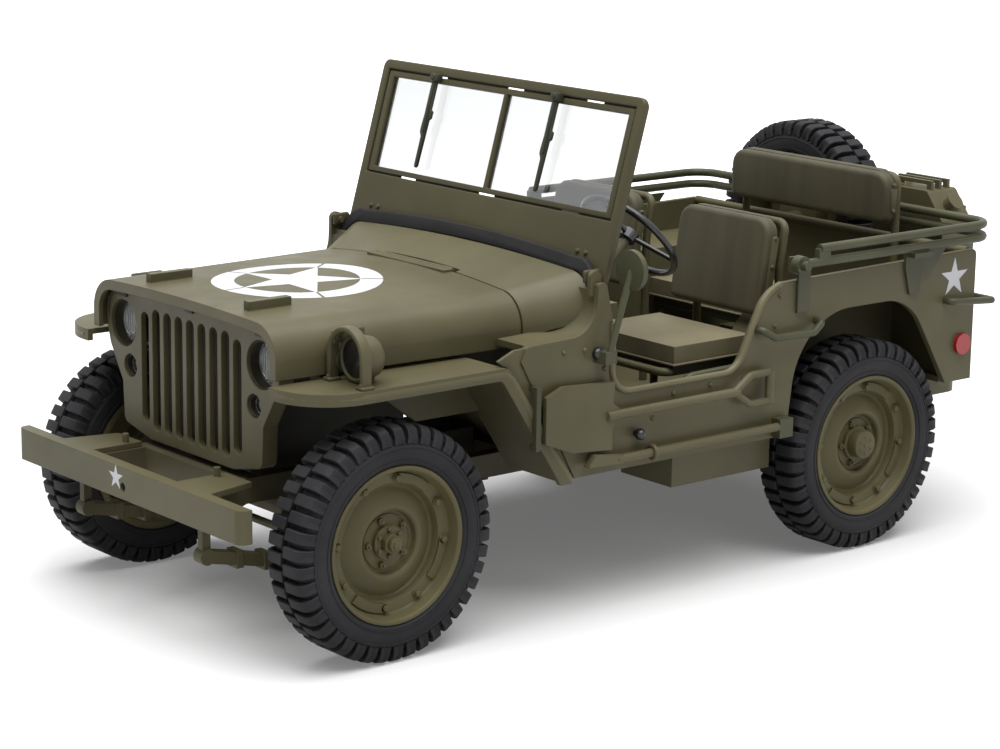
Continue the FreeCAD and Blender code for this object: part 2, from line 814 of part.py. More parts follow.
def make_fuel_tank_well():
    """The tank well that hangs below the floor under the driver's seat."""
    depth = s.rail_height + s.floor_gap + 1.8
    low_y = s.rail_y + s.rail_width / 2 + 6.6
    node("fuel_tank_well", box("fuel_well", (behind(91.5), low_y, floor_low - depth),
                               (25.0, body_inner - 2.4 - low_y, depth)))


# ---- bumpers -----------------------------------------------------------------------

def make_front_bumper():
    """Channel bumper, open to the rear, with gusset plates back to the frame horns."""
    front = front_axle + s.front_overhang
    back = front - s.bumper_depth
    half, wall, corner = s.bumper_half, s.bumper_wall, s.bumper_corner
    top = horn_top + s.bumper_wall
    low = top - s.bumper_height
    outer = prism("bumper_outer", "XY", low, s.bumper_height,
                  [(back, -half), (front, -half, corner), (front, half, corner), (back, half)])
    inner = prism("bumper_inner", "XY", low + wall, s.bumper_height - wall * 2,
                  [(back - 1, -half + wall), (front - wall, -half + wall), (front - wall, half - wall),
                   (back - 1, half - wall)])
    crank = rod("crank_hole", (back - 1, 0, low + s.crank_height), s.crank_radius, s.bumper_depth + 2,
                ALONG_X)
    channel = cut("bumper_channel", outer, join("bumper_voids", [inner, crank]))
    parts = [channel]
    for side_name, side in SIDES.items():
        inner_y, outer_y = (s.rail_y - 1.0) * side, (s.rail_y + 9.3) * side
        parts.append(prism(f"gusset_{side_name}", "XY", top - wall, wall,
                           [(back + wall, outer_y), (back + wall, inner_y), (back - 9.8, inner_y),
                            (back - 9.8, outer_y - 2.6 * side)]))
        parts.append(rod(f"gusset_bolt_{side_name}", (back - 7.2, (s.rail_y + 0.2) * side, top - wall),
                         0.6, wall + 1.6))
    node("front_bumper", join("front_bumper_solid", parts))


def make_tail():
    """Two bumperettes and the tow hook under the rear panel."""
    back, middle = body_rear, rail_low + s.rail_height / 2
    parts = [mid_box("tail_bar", (back - 2.4, 0, rail_low), (2.4, s.rail_y * 2 + 9.2, s.rail_height))]
    reach, width, wall = s.bumperette_reach, s.bumperette_width, 1.0
    near, low = s.rail_y + 3.8, rail_top - 0.4
    for side_name, side in SIDES.items():
        outer = [(back - 1.2, near * side), (back - reach, near * side, 3.0),
                 (back - reach, (near + width) * side, 4.0), (back + 4.0, (near + width) * side),
                 (back + 4.0, (near + width - wall) * side),
                 (back - reach + wall, (near + width - wall) * side, 3.0),
                 (back - reach + wall, (near + wall) * side, 2.0), (back - 1.2, (near + wall) * side)]
        parts.append(prism(f"bumperette_{side_name}", "XY", low, s.bumperette_height, outer))
    plate = mid_box("hook_plate", (back - 3.4, 0, rail_low - 1), (1.0, 7.0, s.rail_height + 2))
    shank = rod("hook_shank", (back - 6.4, 0, middle), 0.9, 3.6, ALONG_X)
    hook = ring("hook_eye", (back - 6.0 - s.hook_radius, 0, middle), s.hook_radius, s.hook_bar, ALONG_Y)
    node("tail_hook", join("tail_hook_solid", parts + [plate, shank, hook]))


# ---- body tub ----------------------------------------------------------------------

def side_outline():
    """The side panel: ledge, pillar, door opening, rear quarter, wheel arch and sill."""
    front_foot, front_top = behind(s.fender_foot + 1.2), behind(s.fender_back + 4.4)
    pillar, door = behind(s.screen_pivot_x - 0.4), behind(s.door_front)
    quarter, sill = door_end - 7.5, floor_low + 0.3
    return [
        (front_foot, sill), (front_top + 1.2, fender_top + 0.4), (front_top, ledge, 1.0),
        (pillar + 0.4, ledge + 0.4, 6.0), (pillar, pillar_top, 0.5),
        (pillar - 1.9, pillar_top, 0.5), (door, ledge + 2), (door, door_sill, 4.5),
        (door_end, door_sill, 5.0), (quarter, body_top - 0.3, 8.0), (body_rear, body_top + 0.6, 1.2),
        (body_rear, tail_low), (arch_rear - 0.6, tail_low), (arch_rear + 10.9, arch_top, 12.0),
        (arch_front - 2.8, arch_top, 15.0), (arch_front, sill),
    ]


def make_sides():
    outline = side_outline()
    left = prism("side_panel", "XZ", body_inner, s.panel, outline)
    node("side_left", left)
    node("side_right", mirror("side_panel_other", left))


def make_floor():
    """Floor with toe board and firewall, the raised tail floor and two wheelhouse boxes."""
    thick = s.panel
    front, back = behind(s.door_front + 1), body_rear + thick
    inner, tail_top = house_inner, tail_low + thick
    plate = prism("floor_plate", "XY", floor_low, thick,
                  [(front, -body_inner), (house_front, -body_inner), (house_front, -inner),
                   (house_back, -inner), (house_back, inner),
                   (house_front, inner), (house_front, body_inner), (front, body_inner)])
    step = mid_box("floor_step", (house_back, 0, floor_low), (thick, inner * 2, tail_top - floor_low))
    tail_floor = mid_box("tail_floor", (back, 0, tail_low),
                         (house_back - back + thick, body_inner * 2, thick))
    wall_x = behind(hood_back + 1.4)
    toe_x, toe_low, toe_high = front + 1.0, ledge - 14.0, ledge - 3.8
    firewall = across("firewall", s.hood_back_half - 4,
                      [(wall_x, toe_high - 6), (wall_x, ledge + 5.2), (wall_x - thick, ledge + 5.2),
                       (wall_x - thick, toe_high - 6)])
    toe_board = across("toe_board", body_inner,
                       [(wall_x, toe_low), (wall_x, toe_high), (wall_x - thick, toe_high),
                        (wall_x - thick, toe_low + 0.4), (toe_x - 1.6, floor_top), (front - 1, floor_top),
                        (front - 1, floor_low), (toe_x, floor_low)])
    parts = [plate, step, tail_floor, firewall, toe_board]
    top, curve = arch_top + thick, s.wheelhouse_curve
    depth = s.wheelhouse_width
    shell = prism("wheelhouse_shell", "XZ", inner, depth,
                  [(back, tail_low), (back, top), (house_front, top, curve), (house_front, floor_low),
                   (house_back, floor_low), (house_back, tail_low)])
    hollow = prism("wheelhouse_hollow", "XZ", inner + thick, depth,
                   [(house_back, floor_low - 1), (house_back, top - thick, 3.0),
                    (house_front - thick, top - thick, curve - thick), (house_front - thick, floor_low - 1)])
    house = cut("wheelhouse", shell, hollow)
    parts += [house, mirror("wheelhouse_other", house)]
    node("body_floor", join("body_floor_solid", parts))


def make_rear_panel():
    """Rear panel between the sides, with its rolled top edge."""
    panel = mid_box("rear_sheet", (body_rear, 0, tail_low), (s.panel, body_inner * 2, body_top - tail_low))
    roll = rod("rear_roll", (body_rear + s.panel, -body_inner, body_top), s.rear_roll_radius,
               body_inner * 2, ALONG_Y)
    node("rear_panel", join("rear_panel_solid", [panel, roll]))


def cowl_sections(inset, front, back):
    """The cowl's front and back sections, shrunk by inset on every side."""
    hood = (s.hood_back_half, hood_top, s.hood_corner, ledge - 0.6, s.hood_crown)
    rear = (cowl_half, cowl_top, s.hood_corner + 0.6, cowl_low, s.cowl_crown)
    sections = []
    for x, (half, top, corner, bottom, crown) in ((front, hood), (back, rear)):
        sections.append((float(x), float(half) - inset, float(top) - inset, float(corner) - inset,
                         float(bottom) - (3 if inset else 0), float(crown)))
    return sections


def make_cowl():
    """Arched cowl behind the hood, with the side ledges that curl up to the dash."""
    front, back = behind(hood_back + s.hood_gap), behind(s.cowl_back)
    outer = feature("cowl_outer", lofted(cowl_sections(0, front, back)))
    inner = feature("cowl_inner", lofted(cowl_sections(float(s.hood_wall) + 0.2,
                                                       front + 0.5, back - 0.5)))
    groove = mid_box("hinge_groove", (front - 1.1, 0, hood_top - 2.4),
                     (1.6, (s.hood_hinge_half + 0.4) * 2, 4.0))
    shell = cut("cowl_shell", outer, join("cowl_voids", [inner, groove]))
    wall = s.panel
    x0, x1, x2 = behind(s.fender_back + 5.0), behind(s.screen_pivot_x - 0.4), back
    curl_top = pillar_top - 1.3
    ledge_y = s.hood_back_half + s.hood_gap
    outline = [(x0, ledge), (x1 + 0.4, ledge + 0.4, 6.0), (x1, curl_top), (x2, curl_top),
               (x2, ledge - wall), (x0, ledge - wall)]
    strip = prism("ledge", "XZ", ledge_y, body_inner - ledge_y, outline)
    trimmed = cut("ledges_trimmed", group("ledge_pair", [strip, mirror("ledge_other", strip)]),
                  feature("cowl_trim", lofted(cowl_sections(0, front, back))))
    parts = [shell, trimmed]
    pivot_x, ear, pin_reach = behind(s.screen_pivot_x), s.screen_ear, s.screen_arm + 0.6
    for side_name, side in SIDES.items():
        low_y = body_inner - ear if side == LEFT else -body_inner
        parts.append(prism(f"screen_ear_{side_name}", "XZ", low_y, ear,
                           [(pivot_x - 1.1, curl_top - 1), (pivot_x + 1.3, curl_top - 1),
                            (pivot_x + 1.3, screen_pivot + 1.3, 1.2),
                            (pivot_x - 1.3, screen_pivot + 1.3, 1.2)]))
        pin_y = body_inner - ear - pin_reach if side == LEFT else -body_inner
        parts.append(rod(f"screen_pin_{side_name}", (pivot_x, pin_y, screen_pivot), s.screen_pin,
                         ear + pin_reach, ALONG_Y))
    node("cowl", join("cowl_solid", parts))


def make_dashboard():
    """Flat dash panel across the body under the windscreen, with raised gauge bezels."""
    x, low = behind(s.cowl_back + s.gasket_depth) - 0.05, ledge - 1.4
    panel = mid_box("dash_panel", (x - s.panel, 0, low), (s.panel, (body_inner - 2.4) * 2, s.dash_height))
    gauges = [(5.0, 2.0), (10.4, 1.2), (0.0, 1.2), (-4.6, 1.2), (14.4, 1.2)]
    dials = [rod(f"gauge_{number}", (x - s.panel - 0.7, y, low + 5.0), radius, 0.8, ALONG_X)
             for number, (y, radius) in enumerate(gauges)]
    node("dashboard", join("dashboard_solid", [panel] + dials))


def make_gasket():
    """Rubber strip that seals the windscreen to the back edge of the cowl."""
    front, back = behind(s.cowl_back + 0.02), behind(s.cowl_back + s.gasket_depth)
    shapes = []
    for inset in (0.0, float(s.gasket)):
        half = float(cowl_half) - 0.4 - inset
        top = float(cowl_top) - 0.2 - inset
        corner = float(s.hood_corner) + 0.6 - inset
        low = float(cowl_low) + 0.4 - inset
        shapes.append(lofted([(float(x), half, top, corner, low, float(s.cowl_crown))
                              for x in (front, back)]))
    strip = shapes[0].cut(shapes[1])
    node("gasket", feature("gasket_strip", strip))


# ---- hood, grille, lamps and fenders -----------------------------------------------

def hood_sections(inset, front, back):
    nose = (s.hood_front_half, nose_top, s.hood_corner - 0.3, s.hood_front_crown)
    tail = (s.hood_back_half, hood_top, s.hood_corner, s.hood_crown)
    sections = []
    for x, (half, top, corner, crown) in ((front, nose), (back, tail)):
        sections.append((float(x), float(half) - inset, float(top) - inset, float(corner) - inset,
                         float(hood_low) - (2 if inset else 0), float(crown)))
    return sections


def make_hood():
    """Arched hood shell with a turned-down nose lip, hinge barrel and two rest blocks."""
    front, back = front_axle + s.hood_front, behind(hood_back)
    wall, lip = float(s.hood_wall), float(s.hood_lip)
    outer = feature("hood_outer", lofted(hood_sections(0, front, back)))
    inner = feature("hood_inner", lofted(hood_sections(wall, float(front) - wall, float(back) - 1)))
    mouth = feature("hood_mouth", lofted(hood_sections(lip, float(front) + 1, float(back) - 1)))
    shell = cut("hood_shell", outer, join("hood_voids", [inner, mouth]))
    parts = [shell]
    for side_name, side in SIDES.items():
        parts.append(mid_box(f"rest_block_{side_name}", (front_axle + 3.7, s.rest_block_y * side,
                                                         nose_top - 0.8), (8.6, 1.6, 2.2)))
    half, barrel = s.hood_hinge_half, s.hood_hinge_radius
    hinge_x, hinge_z = behind(hood_back + 0.2), hood_top - s.hood_hinge_drop
    parts.append(rod("hood_hinge_barrel", (hinge_x, -half, hinge_z), barrel, half * 2, ALONG_Y))
    parts.append(mid_box("hood_hinge_strip", (hinge_x + 0.1, 0, hinge_z - 0.9), (2.2, half * 2, 1.15)))
    node("hood", join("hood_solid", parts))


def grille_outline():
    """The grille plate, widest at the headlamps and waisted below them."""
    half, foot, top, bottom = s.grille_half, s.grille_foot_half, grille_top, grille_low
    waist = headlamp_z - s.headlamp_radius
    right = [(foot, bottom + 1.8, 1.5), (foot + 0.4, bottom + 9.0), (half - 1.1, waist),
             (half, headlamp_z - 0.4, 3.0), (half, top - 4.2, 3.0), (half - 4.6, top - 0.9)]
    left = [(-corner[0],) + corner[1:] for corner in reversed(right)]
    return [(foot - 8.6, bottom)] + right + left + [(8.6 - foot, bottom)]


def make_grille():
    """Stamped grille: a flanged plate with nine upright slots and four lamp holes."""
    front = front_axle + s.grille_front
    back = front - s.grille_depth
    outline = grille_outline()
    middle = (grille_low + grille_top) / 2
    plate = prism("grille_plate", "YZ", front - s.grille_wall, s.grille_wall, outline)
    flange = prism("grille_flange", "YZ", back, s.grille_depth - s.grille_wall, outline,
                   [inset_corner(corner, s.grille_wall, 0.0, middle) for corner in outline])
    start, through = front - s.grille_wall - 1, s.grille_wall + 2
    half = s.slot_width / 2
    holes = []
    for number in range(GRILLE_SLOTS):
        y = s.slot_pitch * (number - (GRILLE_SLOTS - 1) / 2)
        end = number in (0, GRILLE_SLOTS - 1)
        low = slot_low + (1.1 if end else 0)
        high = slot_high - (0.9 if end else 0)
        holes.append(box(f"slot_{number}", (start, y - half, low + half),
                         (through, s.slot_width, high - low - s.slot_width)))
        for place_name, z in (("low", low + half), ("high", high - half)):
            holes.append(rod(f"slot_{number}_{place_name}", (start, y, z), half, through, ALONG_X))
    for side_name, side in SIDES.items():
        holes.append(rod(f"headlamp_hole_{side_name}", (start, s.headlamp_y * side, headlamp_z),
                         s.headlamp_radius, through, ALONG_X))
        holes.append(rod(f"marker_hole_{side_name}", (start, s.marker_y * side, marker_z),
                         s.marker_radius, through, ALONG_X))
    node("grille", cut("grille_cut", join("grille_solid", [plate, flange]), join("grille_holes", holes)))


def inset_corner(corner, wall, middle_y, middle_z):
    """Move an outline's corner inwards by about the wall's thickness."""
    y = corner[0] - wall if float(corner[0]) > middle_y else corner[0] + wall
    z = corner[1] - wall if float(corner[1]) > float(middle_z) else corner[1] + wall
    return (y, z) + tuple(r - wall * 0.6 for r in corner[2:])


def make_radiator():
    """Radiator core and header tank close behind the grille."""
    front = front_axle + s.grille_front - s.grille_depth - 0.3
    core = mid_box("radiator_core", (front - s.radiator_thick, 0, slot_low - 0.4),
                   (s.radiator_thick, s.slot_pitch * GRILLE_SLOTS + 0.8, slot_high - slot_low + 0.2))
    tank = mid_box("radiator_tank", (front - s.radiator_thick - 0.4, 0, slot_high - 0.6),
                   (s.radiator_thick + 0.2, s.slot_pitch * GRILLE_SLOTS - 2.2, 2.4))
    node("radiator", join("radiator_solid", [core, tank]))


def make_lamps():
    """Headlamp and marker shells with chrome rims, and their clear lenses."""
    back = front_axle + s.grille_front - s.grille_wall
    forward = Rotation(Vector(0, 0, 1), -90)
    rims, lenses = [], []
    for side_name, side in SIDES.items():
        for lamp, y, z, radius, depth in (
                ("headlamp", s.headlamp_y, headlamp_z, s.headlamp_radius, s.headlamp_depth),
                ("marker", s.marker_y, marker_z, s.marker_radius, s.marker_depth)):
            name, at = f"{lamp}_{side_name}", (back, y * side, z)
            rims.append(turned(f"{name}_shell",
                               [(radius * 0.45, -depth), (radius + 0.1, -0.1), (radius + 0.1, -0.02),
                                (radius - 0.7, -0.02), (radius - 0.7, -0.9),
                                (radius * 0.45 - 0.2, -depth + 0.8), (0.0, -depth + 0.8), (0.0, -depth)],
                               at, forward))
            lenses.append(turned(f"{name}_lens",
                                 [(0.0, -0.75), (radius - 0.75, -0.75), (radius - 0.75, -0.3), (0.0, 0.35)],
                                 at, forward))
    node("lamp_rims", group("lamp_rim_set", rims))
    node("lamp_lenses", group("lamp_lens_set", lenses))


def make_blackout_lamp():
    """Shaded driving lamp on the left fender, behind its hoop guard."""
    x, y, z = front_axle + 1.4, s.blackout_y, fender_top
    lamp_z = z + s.blackout_rise
    stem = rod("blackout_stem", (x, y, z), 0.7, s.blackout_rise)
    shell = rod("blackout_shell", (x - 2.2, y, lamp_z), s.blackout_radius, 4.4, ALONG_X)
    bar, half, hoop_x, high = s.guard_bar, s.guard_half, x + 4.2, z + s.blackout_rise * 2
    hoop = feature("blackout_guard", tube([(hoop_x, y - half, z), (hoop_x, y - half, high),
                                          (hoop_x, y + half, high), (hoop_x, y + half, z)], bar, 3.6))
    node("blackout_lamp", group("blackout_lamp_set", [join("blackout_solid", [stem, shell]), hoop]))


def make_fenders():
    """Flat-topped fenders that run down to the sill behind the wheel, with an edge lip."""
    nose, back, foot = front_axle + s.fender_nose, behind(s.fender_back), behind(s.fender_foot)
    top, wall, foot_z = fender_top, s.fender_wall, floor_low - s.fender_foot_drop
    inner, half, lip = s.fender_inner, fender_half, s.fender_lip
    strip = prism("fender_strip", "XZ", inner, half - inner,
                  [(nose, top - wall), (nose, top), (back, top, 2.0), (foot, foot_z),
                   (foot + wall * 1.2, foot_z), (back + wall * 0.7, top - wall, 1.2)])
    edge = prism("fender_edge", "XZ", half - wall, wall,
                 [(nose, top - lip), (nose, top), (back, top, 2.0), (foot, foot_z),
                  (foot + lip * 1.2, foot_z), (back + lip * 0.7, top - lip, 1.2)])
    nose_lip = box("fender_nose_lip", (nose - wall, inner, top - lip), (wall, half - inner, lip))
    solid = join("fender_block", [strip, edge, nose_lip])
    corner_r = s.fender_corner
    plan = prism("fender_plan", "XY", foot_z - 1, top - foot_z + 2,
                 [(foot - 1, inner - 2), (nose, inner - 2), (nose, half, corner_r), (foot - 1, half)])
    trimmed = doc.addObject("Part::Common", "fender_trimmed")
    trimmed.Base, trimmed.Tool = solid, plan
    curl = corner_lip(float(nose), float(half), float(corner_r), float(wall), float(top - lip), float(lip))
    apron_low, apron_x = top - 11.2, nose - wall
    apron = prism("fender_apron", "XZ", inner, wall,
                  [(apron_x - 2, top - wall), (back, top - wall), (back - 6.6, apron_low),
                   (back + 8, apron_low), (front_axle - 8, top - 5.6), (front_axle + 6, top - 5.6),
                   (apron_x - 4, apron_low)])
    solid = join("fender_solid", [trimmed, feature("fender_curl", curl), apron])
    grille_back = front_axle + s.grille_front - s.grille_depth - 5
    notch = box("fender_notch", (grille_back, inner - 1, top - 17),
                (20.0, s.grille_half - inner + 2.3, 20.0))
    left = cut("fender_cut", solid, notch)
    node("fender_left", left)
    node("fender_right", mirror("fender_other", left))


def corner_lip(nose, half, radius, wall, low, height):
    """The rounded stretch of the fender's edge lip, at the outer front corner."""
    centre = Vector(nose - radius, half - radius, low)
    outer = Part.makeCylinder(radius, height, centre, Vector(0, 0, 1), 90)
    inner = Part.makeCylinder(radius - wall, height, centre, Vector(0, 0, 1), 90)
    return outer.cut(inner)


# ---- windscreen --------------------------------------------------------------------

screen_at = (behind(s.screen_base_x), 0.0, screen_base)
screen_turn = Rotation(Vector(0, 1, 0), -float(s.screen_lean))


def lean(thing):
    return place(thing, screen_at, screen_turn)


def make_windscreen():
    """Folding windscreen: a steel frame with two panes, wipers and pivot arms."""
    half, high, wall = screen_half, s.screen_height, s.screen_wall
    openings = []
    for side in (LEFT, RIGHT):
        near, far = s.mullion / 2 * side, glass_half * side
        openings.append([(near, s.glass_bottom, 0.6), (far, s.glass_bottom, 1.0),
                         (far, s.glass_top, 1.0), (near, s.glass_top, 0.6)])
    for z, places in ((high - 1.9, (-21.0, 1.5, 23.6)), (s.glass_bottom - 1.7, (-23.6, 0.0, 23.6))):
        for y in places:
            openings.append([(y - 2.6, z), (y + 2.6, z), (y + 2.6, z + 0.5), (y - 2.6, z + 0.5)])
    outline = [(-half + 0.6, 0.6, 1.5), (half - 0.6, 0.6, 1.5), (half, 12.0), (half, high, s.screen_corner),
               (-half, high, s.screen_corner), (-half, 12.0)]
    plate = lean(prism("screen_plate", "YZ", -wall / 2, wall, outline, *openings))
    parts = [plate]
    run, rise = s.screen_base_x - s.screen_pivot_x, s.screen_pivot_rise - s.screen_base_rise
    pivot_x = run * cosine(s.screen_lean) + rise * sine(s.screen_lean)
    pivot_z = rise * cosine(s.screen_lean) - run * sine(s.screen_lean)
    thick = s.screen_arm
    for side_name, side in SIDES.items():
        outer_y = body_inner - s.screen_ear - 0.3
        y = outer_y - thick if side == LEFT else -outer_y
        arm = lean(prism(f"screen_arm_{side_name}", "XZ", y, thick,
                         [(0.0, pivot_z - 0.8), (pivot_x + 1.4, pivot_z - 1.4, 1.3),
                          (pivot_x + 1.4, pivot_z + 1.4, 1.3), (0.0, pivot_z + 4.0)],
                         ("circle", pivot_x, pivot_z, s.screen_pin + s.pin_clearance)))
        parts.append(arm)
    node("windscreen_frame", join("windscreen_frame_solid", parts))
    panes = []
    for side_name, side in SIDES.items():
        near, far = (s.mullion / 2 + 0.02) * side, (glass_half - 0.02) * side
        panes.append(lean(prism(f"pane_{side_name}", "YZ", -s.glass_wall / 2, s.glass_wall,
                                [(near, s.glass_bottom + 0.02, 0.6), (far, s.glass_bottom + 0.02, 1.0),
                                 (far, s.glass_top - 0.02, 1.0), (near, s.glass_top - 0.02, 0.6)])))
    node("windscreen_glass", group("windscreen_panes", panes))
    make_wipers()


def make_wipers():
    """Two hand wipers: a short thick arm from the frame's top, then a thin blade."""
    out, arm = s.screen_wall / 2 + 0.05, s.wiper_arm
    top = s.screen_height - 1.3
    elbow = s.glass_bottom + 8.3
    wipers = []
    for side_name, side in SIDES.items():
        y = s.wiper_y * side - 2.5
        pivot = place(rod(f"wiper_pivot_{side_name}", (0, 0, 0), 0.75, 1.5), (out, y, top - 0.4), ALONG_X)
        bar = box(f"wiper_arm_{side_name}", (out, y - arm / 2, elbow), (arm, arm, top - elbow))
        blade = box(f"wiper_blade_{side_name}", (out, y - arm / 4, s.glass_bottom + 1.0),
                    (arm * 0.6, arm / 2, elbow - s.glass_bottom))
        wipers.append(lean(join(f"wiper_{side_name}", [pivot, bar, blade])))
    node("wipers", group("wiper_pair", wipers))


# ---- seats and controls ------------------------------------------------------------

def make_seats():
    """Two front seats and the rear bench: cushions, backs and bent-tube frames."""
    cushions, backs, frames = [], [], []
    depth, top, thick, tube_r = s.seat_depth, seat_top, s.seat_thick, s.seat_tube
    front = house_front + s.seat_depth + 0.2
    back_x = front - depth - 1.6
    bottom = top - thick
    frame_z = bottom - tube_r - 0.05
    lean_back = Rotation(Vector(0, 1, 0), -8)
    for side_name, side in SIDES.items():
        low_y = s.seat_inner if side == LEFT else -s.seat_inner - s.seat_width
        cushion = box(f"cushion_{side_name}", (front - depth, low_y, bottom), (depth, s.seat_width, thick))
        cushions.append(rounded(f"cushion_{side_name}_round", cushion, 1.0))
        back = box(f"seat_back_{side_name}", (back_x - s.seat_back_thick, low_y, top + 2.0),
                   (s.seat_back_thick, s.seat_width, s.seat_back_height), lean_back)
        backs.append(rounded(f"seat_back_{side_name}_round", back, 1.2))
        inner_y, outer_y = low_y + 1.5, low_y + s.seat_width - 1.5
        foot_x = front - depth + 2.4
        legs = [(foot_x, inner_y, floor_top), (foot_x, inner_y, frame_z), (front + 1, inner_y, frame_z),
                (front + 1, outer_y, frame_z), (foot_x, outer_y, frame_z), (foot_x, outer_y, floor_top)]
        frames.append(feature(f"seat_frame_{side_name}", tube(legs, tube_r, 2.2)))
        x = back_x - s.seat_back_thick - 3.4
        ends = [floor_top, house_surface(x)]
        if side == RIGHT:
            ends.reverse()
        hoop_low, hoop_high = top + 11.0, top + 19.4
        hoop = [(x, inner_y, ends[0]), (x, inner_y, hoop_low), (x - 1.4, inner_y, hoop_high),
                (x - 1.4, outer_y, hoop_high), (x, outer_y, hoop_low), (x, outer_y, ends[1])]
        frames.append(feature(f"seat_hoop_{side_name}", tube(hoop, tube_r, 1.8)))
    half = house_inner - s.seat_gap
    rear_x = rear_axle - 23.0
    back_low, back_thick = floor_low + s.rear_back_rise, s.seat_back_thick - 0.2
    cushion = mid_box("rear_cushion", (rear_x + 3.0, 0, bottom), (s.rear_seat_depth, half * 2, thick))
    cushions.append(rounded("rear_cushion_round", cushion, 1.0))
    back = mid_box("rear_back", (rear_x - back_thick, 0, back_low),
                   (back_thick, half * 2, s.rear_back_height))
    backs.append(rounded("rear_back_round", back, 1.2))
    near, far = rear_x + 20, rear_x + 3
    bench = [(near, 2 - half, floor_top), (near, 2 - half, frame_z), (far, 2 - half, frame_z),
             (far, half - 2, frame_z), (near, half - 2, frame_z), (near, half - 2, floor_top)]
    frames.append(feature("bench_frame", tube(bench, tube_r, 2.2)))
    x, hoop_y = rear_x - back_thick - tube_r - 0.05, half - 1.2
    foot, high = tail_low + s.panel, back_low + s.rear_back_height - 1
    hoop = [(x, -hoop_y, foot), (x, -hoop_y, high), (x, hoop_y, high), (x, hoop_y, foot)]
    frames.append(feature("bench_hoop", tube(hoop, tube_r, 1.8)))
    node("seat_cushions", group("cushion_set", cushions))
    node("seat_backs", group("seat_back_set", backs))
    node("seat_frames", group("seat_frame_set", frames))


def house_surface(x):
    """Height of the wheelhouse's curved top at x, just clear of its surface."""
    curve = float(s.wheelhouse_curve)
    run = max(0.0, float(x) - float(house_front) + curve)
    return float(arch_top + s.panel) - curve + math.sqrt(curve ** 2 - run ** 2) + 0.2


def rounded(name, block, radius):
    """The block with all its edges rounded."""
    doc.recompute()
    thing = doc.addObject("Part::Fillet", name)
    thing.Base = block
    thing.Edges = [(number, radius, radius) for number in range(1, len(block.Shape.Edges) + 1)]
    return thing


def column_point(distance):
    """A point on the steering column, this far down from the wheel's centre."""
    return (behind(s.wheel_centre_x) + cosine(s.column_angle) * distance, s.wheel_centre_y,
            ledge + s.wheel_centre_rise - sine(s.column_angle) * distance)


def make_steering():
    """Steering wheel with three spokes on its sloping column."""
    down = Vector(math.cos(math.radians(float(s.column_angle))), 0,
                  -math.sin(math.radians(float(s.column_angle))))
    slope = Rotation(Vector(0, 0, 1), down)
    column = rod("column", column_point(1.2), s.column_radius, s.column_length, slope)
    node("steering_column", column)
    rim = ring("wheel_ring", (0, 0, 0), s.wheel_ring_radius, s.wheel_tube)
    hub = rod("wheel_hub", (0, 0, -0.9), s.wheel_hub_radius, 1.8)
    spokes = []
    for number in range(3):
        turn = Rotation(Vector(0, 0, 1), 60 + 120 * number) * ALONG_X
        spokes.append(rod(f"spoke_{number}", (0, 0, 0), s.spoke_radius, s.wheel_ring_radius, turn))
    wheel = join("steering_wheel_solid", [rim, hub] + spokes)
    node("steering_wheel", place(wheel, column_point(0), slope))


def make_levers():
    """Gear lever and two transfer levers, rising from their cover on the floor."""
    parts = [mid_box("lever_cover", (behind(67.0), 0, floor_top), (13.0, 13.0, 1.2))]
    for number, (x, y, height, lean_y) in enumerate(((58.0, 0.0, 17.0, 2.0), (62.0, -3.6, 11.0, -1.0),
                                                     (64.0, -5.6, 10.0, -1.0))):
        slope = Vector(-3.0, lean_y, height)
        foot = (behind(x), y, floor_top + 0.5)
        parts.append(rod(f"lever_{number}", foot, s.lever_radius, slope.Length,
                         Rotation(Vector(0, 0, 1), slope)))
        parts.append(ball(f"lever_knob_{number}", (behind(x + 3.0), y + lean_y, floor_top + 0.5 + height),
                          s.knob_radius))
    node("levers", join("lever_set", parts))


# ---- tail, tools and fittings ------------------------------------------------------

def make_jerrycan():
    """Fuel can with three grips and a slanted cap, in a tray behind the rear panel."""
    depth, height, low = s.jerrycan_depth, s.jerrycan_height, jerrycan_low
    x = body_rear - s.jerrycan_gap - depth
    near, far = s.jerrycan_y - s.jerrycan_width / 2, s.jerrycan_y + s.jerrycan_width / 2
    top, wall = low + height, s.tray_wall
    can = prism("can", "YZ", x, depth,
                [(near, low), (far, low), (far, top - 6.0, 1.6), (far - 4.6, top, 1.2), (near, top, 1.6)])
    parts = [can]
    grip_near, grip_far, rise = near + 3.0, far - 4.8, 1.8
    for number in range(3):
        parts.append(prism(f"can_grip_{number}", "YZ", x + 1.5 + 2.4 * number, 0.8,
                           [(grip_near, top - 1), (grip_near, top + rise), (grip_far, top + rise),
                            (grip_far, top - 1), (grip_far - 1.2, top - 1),
                            (grip_far - 1.2, top + rise - 0.8), (grip_near + 1.2, top + rise - 0.8),
                            (grip_near + 1.2, top - 1)]))
    outward = Vector(0, 6.0, 4.6)
    parts.append(rod("can_cap", (x + depth / 2, far - 3.2, top - 3.9), 1.8, 3.4,
                     Rotation(Vector(0, 0, 1), outward)))
    tray = box("can_tray", (x - wall, near - wall, low - wall),
               (body_rear - x + wall - 0.02, far - near + wall * 2, wall + 3.8))
    hollow = box("can_tray_hollow", (x + 0.2, near + 0.2, low), (depth - 0.4, far - near - 0.4, 6.0))
    node("jerrycan", join("jerrycan_solid", parts + [cut("can_tray_shell", tray, hollow)]))


def make_spare_carrier():
    """Bracket on the rear panel, with the stub that the spare wheel bolts to."""
    plate_x, stub_z = body_rear - 0.8, spare_z - 0.9
    plate = mid_box("carrier_plate", (plate_x, s.spare_y, spare_z - 13), (0.78, 12.0, 14.2))
    stub_x = spare_x + s.hub_depth + 0.02
    stub = rod("carrier_stub", (stub_x, s.spare_y, stub_z), 2.0, plate_x + 0.4 - stub_x, ALONG_X)
    node("spare_carrier", join("spare_carrier_solid", [plate, stub]))


